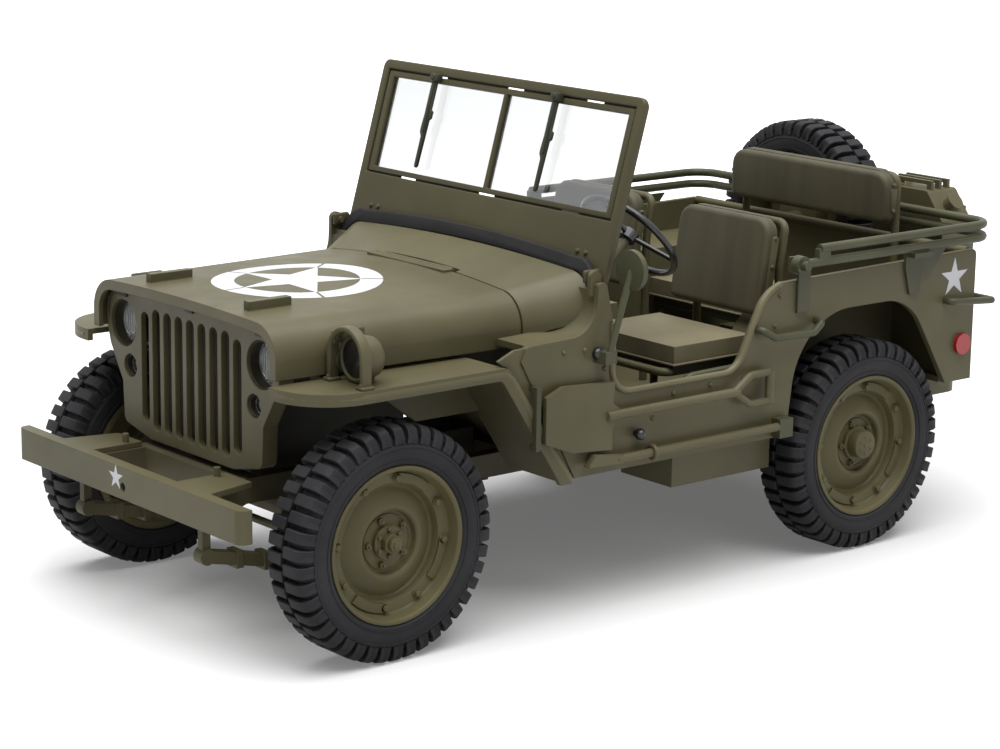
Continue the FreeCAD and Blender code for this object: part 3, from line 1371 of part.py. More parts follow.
def make_tail_lamps():
    """Round reflectors on the sides and tail lamps on the rear panel."""
    lamps = []
    for side_name, side in SIDES.items():
        turn = ALONG_Y if side == LEFT else Rotation(Vector(0, 0, 1), Vector(0, -1, 0))
        lamps.append(rod(f"side_reflector_{side_name}",
                         (body_rear + 3.4, (s.body_half + 0.02) * side, tail_low + 7.4),
                         s.reflector_radius, 0.8, turn))
        lamps.append(rod(f"tail_lamp_{side_name}",
                         (body_rear - 2.2, (s.body_half - 5.6) * side, tail_low + 12.8),
                         s.tail_lamp_radius, 2.18, ALONG_X))
    node("tail_lamps", group("tail_lamp_set", lamps))


def make_bows():
    """Two stacked tubes of the folded top, hinged together on the quarter panels."""
    back, low, spacing = rear_axle - s.bow_back, bow_pivot, s.bow_spacing
    pivot_x = behind(s.bow_pivot_x)
    parts = []
    for number, start in enumerate((pivot_x, pivot_x - 5.0)):
        z = low + spacing * number
        route = [(start, bow_y, z), (back, bow_y, z), (back, -bow_y, z), (start, -bow_y, z)]
        parts.append(feature(f"bow_{number}", tube(route, s.bow_radius, s.bow_corner)))
    for side_name, side in SIDES.items():
        parts.append(mid_box(f"bow_link_{side_name}", (pivot_x - 7.4, bow_y * side, low),
                             (3.0, 1.2, spacing)))
        eye_y = bow_y - 0.8 if side == LEFT else -bow_y - 1.0
        parts.append(rod(f"bow_eye_{side_name}", (pivot_x, eye_y, low), s.bow_radius * 2, 1.8, ALONG_Y))
    bore = rod("bow_bore", (pivot_x, -bow_y - 5, low), s.bow_pin + s.pin_clearance, bow_y * 2 + 10, ALONG_Y)
    node("top_bows", cut("top_bows_cut", join("top_bows_solid", parts), bore))


def outward(side, start, depth):
    """Y of a plate's lower face when it stands this far out from a side panel."""
    return s.body_half + start if side == LEFT else -(s.body_half + start + depth)


def make_brackets():
    """Bow pivots and cradles, grab handles and the tool clips on the body sides."""
    parts = []
    for side_name, side in SIDES.items():
        parts += [bow_pivot_plate(side_name, side), bow_cradle(side_name, side)]
        y_in, y_out = (s.body_half + 0.05) * side, (s.body_half + 1.8) * side
        grip, high = s.grip_radius, body_top - 8.2
        quarter = [(behind(83.4), y_in, high), (behind(83.4), y_out, high),
                   (behind(86.6), y_out, high - 1.7), (behind(96.6), y_out, high - 1.9),
                   (behind(98.8), y_out, high - 0.2), (behind(98.8), y_in, high - 0.2)]
        parts.append(feature(f"quarter_grip_{side_name}", tube(quarter, grip, 0.75)))
        tail_y = y_out - 7.0 * side
        tail = [(body_rear + 8.6, y_in, high - 0.6), (body_rear + 8.6, y_out, high - 0.6),
                (body_rear - 3.6, y_out, high - 1.6), (body_rear - 3.6, tail_y, high - 1.6),
                (body_rear - 0.05, tail_y, high - 1.6)]
        parts.append(feature(f"tail_grip_{side_name}", tube(tail, grip, 0.75)))
    bar_x, bar_low, bar_high = behind(30.3), floor_low + 7.0, floor_low + 18.2
    bar = box("shovel_guard", (bar_x, s.body_half + 0.9, bar_low), (1.0, 0.9, bar_high - bar_low))
    feet = [box(f"shovel_guard_foot_{number}", (bar_x, s.body_half + 0.02, z), (1.0, 1.4, 1.0))
            for number, z in enumerate((bar_low, bar_high - 1.0))]
    parts.append(join("shovel_guard_solid", [bar] + feet))
    parts.append(box("axe_clip", (behind(91.6), s.body_half + 0.02, floor_low + 0.6), (3.4, 2.2, 3.6)))
    node("body_brackets", group("bracket_set", parts))


def bow_pivot_plate(side_name, side):
    """A post up the quarter panel, with a plate that reaches forward to the bows' pin."""
    wall = s.bracket_wall
    x, low, z = behind(s.bow_pivot_x), body_top - 6.3, bow_pivot
    post = prism(f"pivot_post_{side_name}", "XZ", outward(side, 0.02, wall), wall,
                 [(x - 4.1, low), (x - 0.9, low), (x - 0.9, z - 2.2), (x + 1.4, z - 1.4),
                  (x + 1.4, z + 1.4), (x - 1.4, z + 1.4), (x - 4.1, z - 0.8)])
    length = s.bow_standoff + 1.9
    pin = rod(f"pivot_pin_{side_name}", (x, outward(side, 0.3, length), z), s.bow_pin, length, ALONG_Y)
    return join(f"bow_pivot_{side_name}", [post, pin])


def bow_cradle(side_name, side):
    """A shaped plate with a shelf that the folded bows rest over."""
    wall, x = s.bracket_wall, rear_axle
    top, low = bow_pivot - s.bow_radius - 0.15, body_top - 6.3
    plate = prism(f"cradle_{side_name}", "XZ", outward(side, 0.02, wall), wall,
                  [(x - 21.0, top), (x - 9.6, top), (x - 9.6, top - 3.2), (x - 11.0, low),
                   (x - 13.8, low), (x - 14.2, low + 3.3), (x - 16.6, low + 3.3)])
    shelf = box(f"cradle_shelf_{side_name}", (x - 14.6, outward(side, 0.02, 2.8), top - 0.9),
                (5.0, 2.8, 0.9))
    return join(f"bow_cradle_{side_name}", [plate, shelf])


def make_tools():
    """Shovel and axe carried on the left side."""
    y = s.body_half + s.tool_standoff
    tip, z = behind(31.5), floor_low + s.shovel_rise
    blade = prism("shovel_blade", "XZ", y, 0.9,
                  [(tip, z - 3.0), (tip, z + 5.2), (tip - 3.8, z + 6.7), (tip - 15.8, z + 6.0),
                   (tip - 15.4, z + 2.2), (tip - 17.4, z + 0.8), (tip - 17.4, z - 0.8),
                   (tip - 15.4, z - 2.2), (tip - 15.4, z - 6.2), (tip - 6.0, z - 5.4)])
    middle_y = y + 0.85
    shaft = rod("shovel_handle", (tip - s.shovel_length, middle_y, z), s.handle_radius,
                s.shovel_length - 14, ALONG_X)
    parts = [blade, shaft]
    grip_end, spread = tip - s.shovel_length - 8.0, 2.7
    for number, side in enumerate((1, -1)):
        route = [(tip - s.shovel_length + 1.0, middle_y, z),
                 (tip - s.shovel_length - 3.0, middle_y, z + spread * side),
                 (grip_end, middle_y, z + spread * side)]
        parts.append(feature(f"shovel_fork_{number}", tube(route, s.grip_radius, 2.0)))
    parts.append(rod("shovel_grip", (grip_end, middle_y, z - spread - 0.4), s.handle_radius,
                     spread * 2 + 0.8))
    node("shovel", join("shovel_solid", parts))
    axe_z = floor_low + s.axe_rise
    heel = prism("axe_heel", "XZ", y, 1.5,
                 [(behind(41.1), axe_z - 0.6), (behind(42.6), axe_z + 1.5), (behind(49.2), axe_z + 0.6),
                  (behind(49.2), axe_z - 1.0)])
    helve = rod("axe_helve", (behind(88.0), y + 0.8, axe_z - 0.2), s.handle_radius - 0.05, 40.0, ALONG_X)
    strap = ring("axe_strap", (behind(56.6), y + 0.8, axe_z - 0.2), 1.15, 0.4, ALONG_X)
    node("axe", join("axe_solid", [heel, helve, strap]))


def make_mirror():
    """Round mirror on a straight arm outside the left pillar."""
    x, z = behind(49.4), pillar_top + s.mirror_rise
    disc = rod("mirror_disc", (x - 1.1, mirror_y, z), s.mirror_radius, 1.1, ALONG_X)
    foot_low = ledge - 4.6
    arm = feature("mirror_arm", tube([(behind(45.1), mirror_y, foot_low + 1.2), (x - 0.5, mirror_y, z)],
                                     0.6, 3.0))
    foot = box("mirror_foot", (behind(46.4), s.body_half + 0.02, foot_low),
               (2.6, mirror_y - s.body_half + 0.6, 2.2))
    node("mirror", join("mirror_solid", [disc, arm, foot]))


# ---- wheels ------------------------------------------------------------------------

def tyre_shape():
    """A tyre of equal wedges whose lug stands on the left and right half by turns."""
    radius, width, bead = float(s.wheel_radius), float(s.tyre_width), float(s.rim_lip_radius) + 0.05
    tread, shoulder = radius - float(s.lug_depth), radius - float(s.lug_fall)
    rim_y, flank_y, edge_y = 0.44 * width, 0.5 * width, 0.46 * width
    inner = width / 2 - float(s.lug_length)
    flank = bead + 3.4
    lug_side = [(bead, rim_y), (flank, flank_y), (shoulder, flank_y), (radius, inner), (tread, inner)]
    bare_side = [(tread, edge_y), (flank, flank_y), (bead, rim_y)]
    wall = [(flank, flank_y), (shoulder, flank_y), (radius, inner), (tread, inner), (tread, edge_y)]
    count = 2 * LUGS

    def corner(place, side, step):
        reach, turn = place[0] / math.cos(math.pi / count), 2 * math.pi / count * (step + 0.5)
        return Vector(reach * math.sin(turn), place[1] * side, -reach * math.cos(turn))

    def face(corners):
        return Part.Face(Part.makePolygon(corners + corners[:1]))

    faces = []
    for i in range(count):
        side = LEFT if i % 2 else RIGHT
        middle = [(place, side) for place in lug_side] + [(lug_side[-1], -side)]
        section = middle + [(place, -side) for place in bare_side]
        near = [corner(place, half, i) for place, half in section]
        far = [corner(place, half, i + 1) for place, half in section]
        for k in range(4):
            faces.append(face([near[k], near[k + 1], far[k + 1], far[k]]))
        faces.append(face(near[4:7] + far[4:7][::-1]))
        for k in (6, 7, 8):
            j = (k + 1) % len(section)
            faces.append(face([near[k], near[j], far[j], far[k]]))
        for half in (LEFT, RIGHT):
            faces.append(face([corner(place, half, i) for place in wall]))
    shell = Part.makeShell(faces)
    shell.sewShape()
    tyre = Part.makeSolid(shell)
    if tyre.Volume < 0:
        tyre.reverse()
    return tyre


def rim_outline():
    """The steel wheel's section: lip, barrel, bolt ledge, domed disc and hub."""
    lip, half = s.rim_lip_radius, s.rim_half_width
    bead = lip - s.rim_lip
    barrel = bead - s.rim_wall
    disc, recess, bore = s.disc_radius, s.hub_recess_radius, s.spindle_radius + s.spindle_clearance
    cap = s.hub_cap_radius
    return [
        (bore, -s.hub_depth), (recess, -s.hub_depth), (recess + 0.4, 0.2), (disc - 0.6, -1.2),
        (barrel, 1.4), (barrel, -half), (lip, -half), (lip, -half + 0.5), (bead, -half + 0.5),
        (bead, half - 0.5), (lip, half - 0.5), (lip, half), (lip - 0.9, half), (barrel + 0.2, 2.4),
        (disc + 0.4, 2.4), (disc + 0.1, 0.6), (disc - 0.5, 0.8), (recess + 0.7, 2.6),
        (recess + 0.2, 2.4), (recess, 1.2), (recess - 0.8, 1.2), (recess - 1.0, 1.6), (cap + 0.3, 1.6),
        (cap, half - 0.4, 0.3), (bore, half - 0.4),
    ]


def make_wheels():
    """Four wheels and the spare: a lugged tyre on a bolted steel rim each."""
    tyre = tyre_shape()
    track = s.half_track
    barrel = s.rim_lip_radius - s.rim_lip - s.rim_wall
    bolt_circle = (s.disc_radius + barrel + 0.2) / 2
    about_z = Vector(0, 0, 1)
    wheels = [
        ("front_left", (front_axle, track, axle_z), Rotation()),
        ("front_right", (front_axle, -track, axle_z), Rotation(about_z, 180)),
        ("rear_left", (rear_axle, track, axle_z), Rotation()),
        ("rear_right", (rear_axle, -track, axle_z), Rotation(about_z, 180)),
        ("spare", (spare_x, s.spare_y, spare_z), Rotation(about_z, 90)),
    ]
    for name, at, turn in wheels:
        node(f"tyre_{name}", feature(f"tyre_{name}_shape", tyre.copy(), at, turn))
        rim = turned(f"rim_{name}_body", rim_outline(), at, turn)
        bolt_ring(rim, f"rim_bolt_{name}", bolt_circle, s.rim_bolt_radius, 2.2, 0.9, RIM_BOLTS)
        node(f"rim_{name}", rim)


# ---- build, check and write --------------------------------------------------------

for make in (make_chassis, make_leaf_springs, make_axles, make_tie_rod, make_knuckles, make_driveline,
             make_exhaust, make_fuel_tank_well, make_front_bumper, make_tail, make_sides, make_floor,
             make_rear_panel, make_cowl, make_dashboard, make_gasket, make_hood, make_grille,
             make_radiator, make_lamps, make_blackout_lamp, make_fenders, make_windscreen, make_seats,
             make_steering, make_levers, make_jerrycan, make_spare_carrier, make_tail_lamps, make_bows,
             make_brackets, make_tools, make_mirror, make_wheels):
    make()
doc.recompute()

for thing in doc.Objects:
    bad = {"Invalid", "Error"} & set(thing.State)
    if bad:
        raise RuntimeError(f"{thing.Name} ({thing.Label}) is {sorted(bad)}")
for label, thing in nodes.items():
    shape = thing.Shape
    if shape.isNull() or not shape.isValid() or not shape.Solids:
        raise RuntimeError(f"{label} has no valid solid")

os.makedirs("parts", exist_ok=True)
for label, thing in nodes.items():
    thing.Shape.exportStep(f"parts/{label}.step")
print(len(nodes), "nodes written")
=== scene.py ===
import bpy
import json
import math
from mathutils import Matrix, Quaternion, Vector


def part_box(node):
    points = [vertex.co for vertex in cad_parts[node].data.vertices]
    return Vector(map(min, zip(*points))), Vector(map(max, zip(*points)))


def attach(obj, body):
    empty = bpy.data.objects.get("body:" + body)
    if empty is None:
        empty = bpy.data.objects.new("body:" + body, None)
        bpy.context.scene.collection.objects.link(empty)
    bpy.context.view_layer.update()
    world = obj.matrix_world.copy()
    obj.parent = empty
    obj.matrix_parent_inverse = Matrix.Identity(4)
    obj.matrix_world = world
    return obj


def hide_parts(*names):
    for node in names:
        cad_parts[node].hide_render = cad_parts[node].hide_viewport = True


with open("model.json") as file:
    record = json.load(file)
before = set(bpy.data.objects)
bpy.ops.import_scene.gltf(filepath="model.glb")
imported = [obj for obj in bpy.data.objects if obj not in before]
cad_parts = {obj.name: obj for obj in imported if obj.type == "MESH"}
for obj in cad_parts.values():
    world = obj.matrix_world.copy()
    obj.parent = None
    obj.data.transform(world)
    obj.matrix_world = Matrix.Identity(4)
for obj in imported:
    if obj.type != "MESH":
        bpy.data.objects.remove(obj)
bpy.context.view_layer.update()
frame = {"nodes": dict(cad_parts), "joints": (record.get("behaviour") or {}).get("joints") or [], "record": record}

nodes = frame["nodes"]
frontAxle = next(Vector(j["pos_m"]) for j in frame["joints"] if j["name"] == "spin_front_left")
forward, leftward, upward = Vector((1, 0, 0)), Vector((0, 1, 0)), Vector((0, 0, 1))
mm = 0.001
tiny = 1e-6  # metres: nearer than this, two points are one
print("stage: frame loaded,", len(nodes), "nodes")


def mmAt(ahead, left, up):
    # a place or a reach given in millimetres
    return Vector((ahead, left, up)) * mm


def spot(ahead, left, up):
    # a place in millimetres: ahead of the front axle, left of the middle, above the ground
    return Vector((frontAxle.x + ahead * mm, left * mm, up * mm))


# ---- working habits: one selected object at a time, finished pieces at the origin

def deselectAll():
    if bpy.context.object and bpy.context.object.mode != "OBJECT":
        bpy.ops.object.mode_set(mode="OBJECT")
    bpy.ops.object.select_all(action="DESELECT")


def pick(piece):
    deselectAll()
    piece.select_set(True)
    bpy.context.view_layer.objects.active = piece


def selectAll():
    bpy.ops.mesh.select_all(action="SELECT")


def editAll(piece):
    pick(piece)
    bpy.ops.object.mode_set(mode="EDIT")
    selectAll()


def leaveEdit():
    bpy.ops.object.mode_set(mode="OBJECT")
    return bpy.context.object


def selectWhere(piece, kind, wanted):
    # picks faces or verts in code, by their place or normal
    bpy.ops.mesh.select_all(action="DESELECT")
    bpy.ops.mesh.select_mode(type=kind)
    bpy.ops.object.mode_set(mode="OBJECT")
    if kind == "FACE":
        for face in piece.data.polygons:
            face.select = wanted(face.center, face.normal)
    else:
        for vert in piece.data.vertices:
            vert.select = wanted(vert.co)
    bpy.ops.object.mode_set(mode="EDIT")


def settle(piece):
    pick(piece)
    bpy.ops.object.transform_apply(location=True, rotation=True, scale=True)
    return piece


def justAdded(name):
    # the primitive that was just added, with its place in its mesh
    piece = settle(bpy.context.object)
    piece.name = name
    return piece


def shaped(piece, kind, **settings):
    # adds a modifier with its settings and applies it
    pick(piece)
    modifier = piece.modifiers.new("shaping", kind)
    for name, value in settings.items():
        setattr(modifier, name, value)
    bpy.ops.object.modifier_apply(modifier=modifier.name)
    return piece


def smooth(piece, angle):
    pick(piece)
    bpy.ops.object.shade_smooth_by_angle(angle=math.radians(angle))
    return piece


def facedOut(piece):
    editAll(piece)
    bpy.ops.mesh.normals_make_consistent(inside=False)
    leaveEdit()
    return piece


def roundEdges(piece, width, segments=2, angle=35):
    return shaped(piece, "BEVEL", width=width * mm, segments=segments, limit_method="ANGLE",
                  angle_limit=math.radians(angle))


def block(name, middle, size, soften=0.15, segments=2):
    # a block of size (x, y, z) in millimetres with softened edges
    deselectAll()
    bpy.ops.mesh.primitive_cube_add(size=1, location=middle, scale=Vector(size) * mm)
    piece = justAdded(name)
    return roundEdges(piece, soften, segments) if soften else piece


def drum(name, middle, radius, length, axis, sides, soften):
    # a round piece centred on middle with its rims softened
    deselectAll()
    bpy.ops.mesh.primitive_cylinder_add(vertices=sides, radius=radius * mm, depth=length * mm,
                                        location=middle,
                                        rotation=upward.rotation_difference(axis).to_euler())
    return roundEdges(justAdded(name), soften, 2, 40)


def joinAll(name, pieces):
    pick(pieces[0])
    for piece in pieces:
        piece.select_set(True)
    if len(pieces) > 1:
        bpy.ops.object.join()
    piece = bpy.context.object
    piece.name = name
    return piece


def copyOf(piece, name, matrix):
    twin = piece.copy()
    twin.data = piece.data.copy()
    twin.name = name
    bpy.context.scene.collection.objects.link(twin)
    twin.matrix_world = matrix
    return settle(twin)


def mirrored(name, piece):
    # the same piece on the other side, with its faces turned the right way again
    return facedOut(copyOf(piece, name, Matrix.Scale(-1, 4, leftward)))


def drawLine(name, points):
    # one vertex, extruded from point to point; it stays in edit mode
    deselectAll()
    bpy.ops.mesh.primitive_plane_add(size=mm, location=points[0])
    piece = justAdded(name)
    bpy.ops.object.mode_set(mode="EDIT")
    bpy.ops.mesh.select_mode(type="VERT")
    selectAll()
    bpy.ops.mesh.merge(type="CENTER")
    for before, after in zip(points, points[1:]):
        bpy.ops.mesh.extrude_vertices_move(TRANSFORM_OT_translate={"value": after - before})
    return piece


def spun(name, profile, steps):
    # a profile of (radius, along) in millimetres, spun about the Y axis
    drawLine(name, [mmAt(0, y, r) for r, y in profile])
    selectAll()
    bpy.ops.mesh.spin(steps=steps, angle=2 * math.pi, center=(0, 0, 0), axis=leftward)
    selectAll()
    bpy.ops.mesh.remove_doubles(threshold=tiny)
    bpy.ops.mesh.normals_make_consistent(inside=False)
    return leaveEdit()


def turned(name, profile, middle, axis=forward, steps=32):
    # a profile of (radius, along) in millimetres, turned about an axis through middle
    piece = spun(name, profile, steps)
    turn = leftward.rotation_difference(axis).to_matrix().to_4x4()
    piece.matrix_world = Matrix.Translation(middle) @ turn
    return settle(piece)


def hoop(radius, y, thick):
    # a thin round hoop about the Y axis
    deselectAll()
    bpy.ops.mesh.primitive_torus_add(major_radius=radius * mm, minor_radius=thick * mm,
                                     major_segments=96, minor_segments=6,
                                     location=(0, y * mm, 0), rotation=(math.pi / 2, 0, 0))
    return justAdded("hoop")


def ringOf(piece, count, start=0.0):
    # repeats a piece round the Y axis
    deselectAll()
    bpy.ops.object.empty_add(location=(0, 0, 0))
    step = bpy.context.object
    step.rotation_euler = (0, 2 * math.pi / count, 0)
    if start:
        piece.rotation_euler = (0, start, 0)
        settle(piece)
    shaped(piece, "ARRAY", use_relative_offset=False, use_object_offset=True, offset_object=step,
           count=count)
    bpy.data.objects.remove(step)
    return piece


def thickened(radius, sides=3):
    # gives the active line a round section and closed ends
    bpy.ops.object.convert(target="CURVE")
    curve = bpy.context.object.data
    curve.dimensions = "3D"
    curve.bevel_depth = radius * mm
    curve.bevel_resolution = sides
    curve.use_fill_caps = True
    bpy.ops.object.convert(target="MESH")
    return smooth(bpy.context.object, 50)


def bar(name, points, radius, bend=0.0, sides=3):
    # a round bar along points; its corners are rounded before it gets its thickness
    drawLine(name, points)
    if bend:
        selectAll()
        bpy.ops.mesh.bevel(offset=bend * mm, segments=6, affect="VERTICES")
    leaveEdit()
    return thickened(radius, sides)


def plate(name, outline, thick, soften):
    # a flat outline, filled and given thickness along its normal
    piece = drawLine(name, outline)
    selectAll()
    bpy.ops.mesh.edge_face_add()
    leaveEdit()
    facedOut(shaped(piece, "SOLIDIFY", thickness=thick * mm, offset=0))
    return roundEdges(piece, soften) if soften else piece


def cutWith(piece, cutters):
    # takes the cutters' shapes out of the piece
    cutter = joinAll("cutter", cutters)
    shaped(piece, "BOOLEAN", object=cutter, solver="EXACT")
    bpy.data.objects.remove(cutter)
    return piece


def roundedOutline(half, low, high, corner, lowCorner):
    # an upright rectangle with rounded corners, as (across, up) points
    corners = ((half - corner, high - corner, corner), (-half + corner, high - corner, corner),
               (-half + lowCorner, low + lowCorner, lowCorner),
               (half - lowCorner, low + lowCorner, lowCorner))
    points = []
    for quarter, (across, up, r) in enumerate(corners):
        for step in range(5):
            angle = math.radians(quarter * 90 + step * 22.5)
            points.append((across + r * math.cos(angle), up + r * math.sin(angle)))
    return points


# ---- materials: each finish is a small node tree on the piece's own coordinates

mixFactor, mixFirst, mixSecond, mixResult = 0, 6, 7, 2  # the colour sockets of a Mix node

paints = {  # light tone, dark tone, roughness and softened edge in millimetres
    "olive": ((86, 82, 60), (77, 73, 52), 0.42, 0.25),
    "wheel": ((91, 85, 58), (78, 73, 49), 0.45, 0.12),
    "chassis": ((80, 75, 55), (62, 58, 42), 0.55, 0.25),
    "engine": ((56, 54, 46), (38, 37, 32), 0.6, 0.25),
    "fittings": ((73, 73, 54), (60, 60, 44), 0.4, 0.15),
    "screen": ((74, 70, 50), (65, 61, 43), 0.5, 0.25),
    "wiper": ((52, 54, 42), (42, 44, 34), 0.45, 0.1),
    # a dark olive for painted shade: inside the lamp holes and in the gap under the hood's front edge
    "paintedShade": ((44, 42, 31), (34, 32, 23), 0.5, 0.25),
    # a dark olive under the cushions: painted shade beneath them
    "seatPanShade": ((50, 48, 36), (40, 38, 28), 0.5, 0.25),
    # the rolled edges' paint is the olive made lighter: a painted highlight along the rolled edges
    "edgeHighlight": ((99, 94, 71), (86, 81, 59), 0.38, 0.1),
}


def linear(red, green, blue):
    # screen colour, 0 to 255, as the light a shader works with
    return tuple((c / 255 / 12.92) if c < 11 else ((c / 255 + 0.055) / 1.055) ** 2.4
                 for c in (red, green, blue))


def wire(tree, node, inputs):
    # sockets, by name or number, take a value or another node's output
    for name, value in inputs.items():
        if isinstance(value, bpy.types.NodeSocket):
            tree.links.new(value, node.inputs[name])
        else:
            node.inputs[name].default_value = value


def addNode(tree, kind, inputs, **settings):
    node = tree.nodes.new("ShaderNode" + kind)
    for name, value in settings.items():
        setattr(node, name, value)
    wire(tree, node, inputs)
    return node


def startMaterial(name, color, roughness, metallic=0.0):
    material = bpy.data.materials.new(name)
    material.use_nodes = True
    tree = material.node_tree
    shader = tree.nodes["Principled BSDF"]
    wire(tree, shader, {"Base Color": (*color, 1), "Roughness": roughness, "Metallic": metallic})
    return material, tree, shader


def ownPlace(tree, output="Object"):
    return tree.nodes.new("ShaderNodeTexCoord").outputs[output]


def noiseAt(tree, place, scale, detail, rough=0.55):
    return addNode(tree, "TexNoise", {"Vector": place, "Scale": scale, "Detail": detail,
                                      "Roughness": rough}).outputs["Fac"]


def objectNoise(tree, scale, detail):
    return noiseAt(tree, ownPlace(tree), scale, detail)


def spread(tree, value, low, high, fromLow=0.3, fromHigh=0.7):
    return addNode(tree, "MapRange", {"Value": value, "From Min": fromLow, "From Max": fromHigh,
                                      "To Min": low, "To Max": high}).outputs["Result"]


def mathNode(tree, kind, *values):
    return addNode(tree, "Math", dict(enumerate(values)), operation=kind).outputs[0]


def blend(tree, share, one, two):
    # from one colour to two as share goes from 0 to 1
    return addNode(tree, "Mix", {mixFactor: share, mixFirst: one, mixSecond: two},
                   data_type="RGBA").outputs[mixResult]


def mottle(tree, shader, noise, dark, light, fromLow, fromHigh):
    # the colour drifts from dark to light with the noise
    share = spread(tree, noise, 0, 1, fromLow, fromHigh)
    tone = blend(tree, share, (*linear(*dark), 1), (*linear(*light), 1))
    wire(tree, shader, {"Base Color": tone})


def rub(tree, shader, scale, detail, low, high):
    # the roughness drifts between low and high
    wire(tree, shader, {"Roughness": spread(tree, objectNoise(tree, scale, detail), low, high)})


def addBump(tree, shader, height, strength, distance, edge=0.0):
    bump = addNode(tree, "Bump", {"Height": height, "Strength": strength,
                                  "Distance": distance * mm})
    if edge:
        soften = addNode(tree, "Bevel", {"Radius": edge * mm}, samples=4)
        wire(tree, bump, {"Normal": soften.outputs["Normal"]})
    wire(tree, shader, {"Normal": bump.outputs["Normal"]})


def paintFinish(name):
    # sprayed satin paint: cloudy tone, fine orange peel, softened sheet edges
    light, dark, roughness, edge = paints[name]
    material, tree, shader = startMaterial(name + "Paint", linear(*light), roughness)
    mottle(tree, shader, objectNoise(tree, 38, 3), dark, light, 0.38, 0.62)
    rub(tree, shader, 160, 4, roughness - 0.05, roughness + 0.07)
    wire(tree, shader, {"Specular IOR Level": 0.2})
    addBump(tree, shader, objectNoise(tree, 2600, 2), 0.10, 0.05, edge)
    return material


def seatFinish():
    # moulded seats: a browner green with a fine canvas weave
    material, tree, shader = startMaterial("seatCovers", linear(98, 92, 70), 0.6)
    mottle(tree, shader, objectNoise(tree, 60, 3), (93, 87, 66), (108, 102, 79), 0.35, 0.65)
    wire(tree, shader, {"Specular IOR Level": 0.3})
    addBump(tree, shader, objectNoise(tree, 900, 3), 0.25, 0.12)
    return material


def shadedBackFinish():
    # seat backs: the seat covers' tone made darker, painted shade on the upright backs, with soft upright creases
    # in the surface whose valleys are darker in tone, painted shade in the creases
    material, tree, shader = startMaterial("shadedBackCovers", linear(70, 66, 50), 0.55)
    tall = addNode(tree, "Mapping", {"Vector": ownPlace(tree), "Scale": (1.0, 1.0, 0.12)})
    creaseAndShade = noiseAt(tree, tall.outputs["Vector"], 260, 3, 0.5)
    mottle(tree, shader, creaseAndShade, (62, 58, 44), (71, 67, 50), 0.35, 0.65)
    wire(tree, shader, {"Specular IOR Level": 0.25})
    addBump(tree, shader, creaseAndShade, 0.3, 0.2)
    return material


def rubberFinish(name, dark, light, roughness):
    material, tree, shader = startMaterial(name, linear(*dark), roughness)
    mottle(tree, shader, objectNoise(tree, 90, 5), dark, light, 0.4, 0.75)
    wire(tree, shader, {"Specular IOR Level": 0.15})
    addBump(tree, shader, objectNoise(tree, 1500, 3), 0.2, 0.08)
    return material


def glossFinish(name, color, roughness):
    material, tree, shader = startMaterial(name, linear(*color), roughness)
    rub(tree, shader, 120, 4, roughness, roughness + 0.1)
    return material


def chromeFinish():
    material, tree, shader = startMaterial("lampChrome", linear(205, 205, 202), 0.12, 1.0)
    rub(tree, shader, 300, 4, 0.08, 0.2)
    return material


def glassFinish():
    # a clear moulded pane: mostly see-through, with a faint haze and a reflection at the edges
    material, tree, shader = startMaterial("clearGlass", (0.38, 0.39, 0.41), 0.0, 1.0)
    rub(tree, shader, 60, 3, 0.0, 0.03)
    clear = addNode(tree, "BsdfTransparent", {"Color": (0.965, 0.975, 0.97, 1)})
    facing = addNode(tree, "LayerWeight", {"Blend": 0.5})
    share = spread(tree, facing.outputs["Facing"], 0.28, 0.36, 0.0, 1.0)
    mix = addNode(tree, "MixShader", {0: share, 1: clear.outputs["BSDF"],
                                      2: shader.outputs["BSDF"]})
    wire(tree, tree.nodes["Material Output"], {"Surface": mix.outputs["Shader"]})
    return material


def lensFinish():
    # moulded lens: clear, with fine upright flutes
    material, tree, shader = startMaterial("flutedLens", linear(186, 190, 188), 0.12)
    flute = addNode(tree, "TexWave", {"Vector": ownPlace(tree), "Scale": 420, "Distortion": 0.6},
                    bands_direction="Y")
    wire(tree, shader, {"Transmission Weight": 0.55})
    addBump(tree, shader, flute.outputs["Fac"], 0.7, 0.25)
    return material


finishes = {name: paintFinish(name) for name in paints}
finishes.update({
    "seat": seatFinish(),
    "seatBack": shadedBackFinish(),
    "tyre": rubberFinish("tyreRubber", (31, 31, 33), (44, 44, 46), 0.6),
    "blackRubber": rubberFinish("blackRubber", (30, 30, 31), (42, 42, 42), 0.65),
    "blackGloss": glossFinish("blackGloss", (22, 22, 24), 0.22),
    "redLamp": glossFinish("redLamp", (150, 22, 26), 0.18),
    "chrome": chromeFinish(),
    "glass": glassFinish(),
    "lens": lensFinish(),
})
finishOfSlot = {"olive_paint": "olive", "wheel_paint": "wheel", "chassis_paint": "chassis",
                "engine_paint": "engine", "seat_covers": "seat", "tyre_rubber": "tyre",
                "black_rubber": "blackRubber", "black_gloss": "blackGloss", "red_lamp": "redLamp",
                "lamp_chrome": "chrome", "clear_glass": "glass"}


def coat(piece, material):
    piece.data.materials.clear()
    piece.data.materials.append(material)


def dress(name, parts, finish, angle, replaced=(), body="body"):
    # joins the parts and says their finish, the body they ride on and the nodes they stand for
    piece = smooth(settle(joinAll(name, parts)), angle)
    coat(piece, finishes[finish])
    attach(piece, body)
    if replaced:
        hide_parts(*replaced)


for part in frame["record"]["subparts"]:
    coat(nodes[part["node"]], finishes[finishOfSlot[part["material_slot"]]])
for nodeName in ("body_brackets", "top_bows", "mirror"):
    coat(nodes[nodeName], finishes["fittings"])
print("stage: finishes made and given to the nodes")


# ---- the studio: floor, soft lamps, white surroundings and the camera

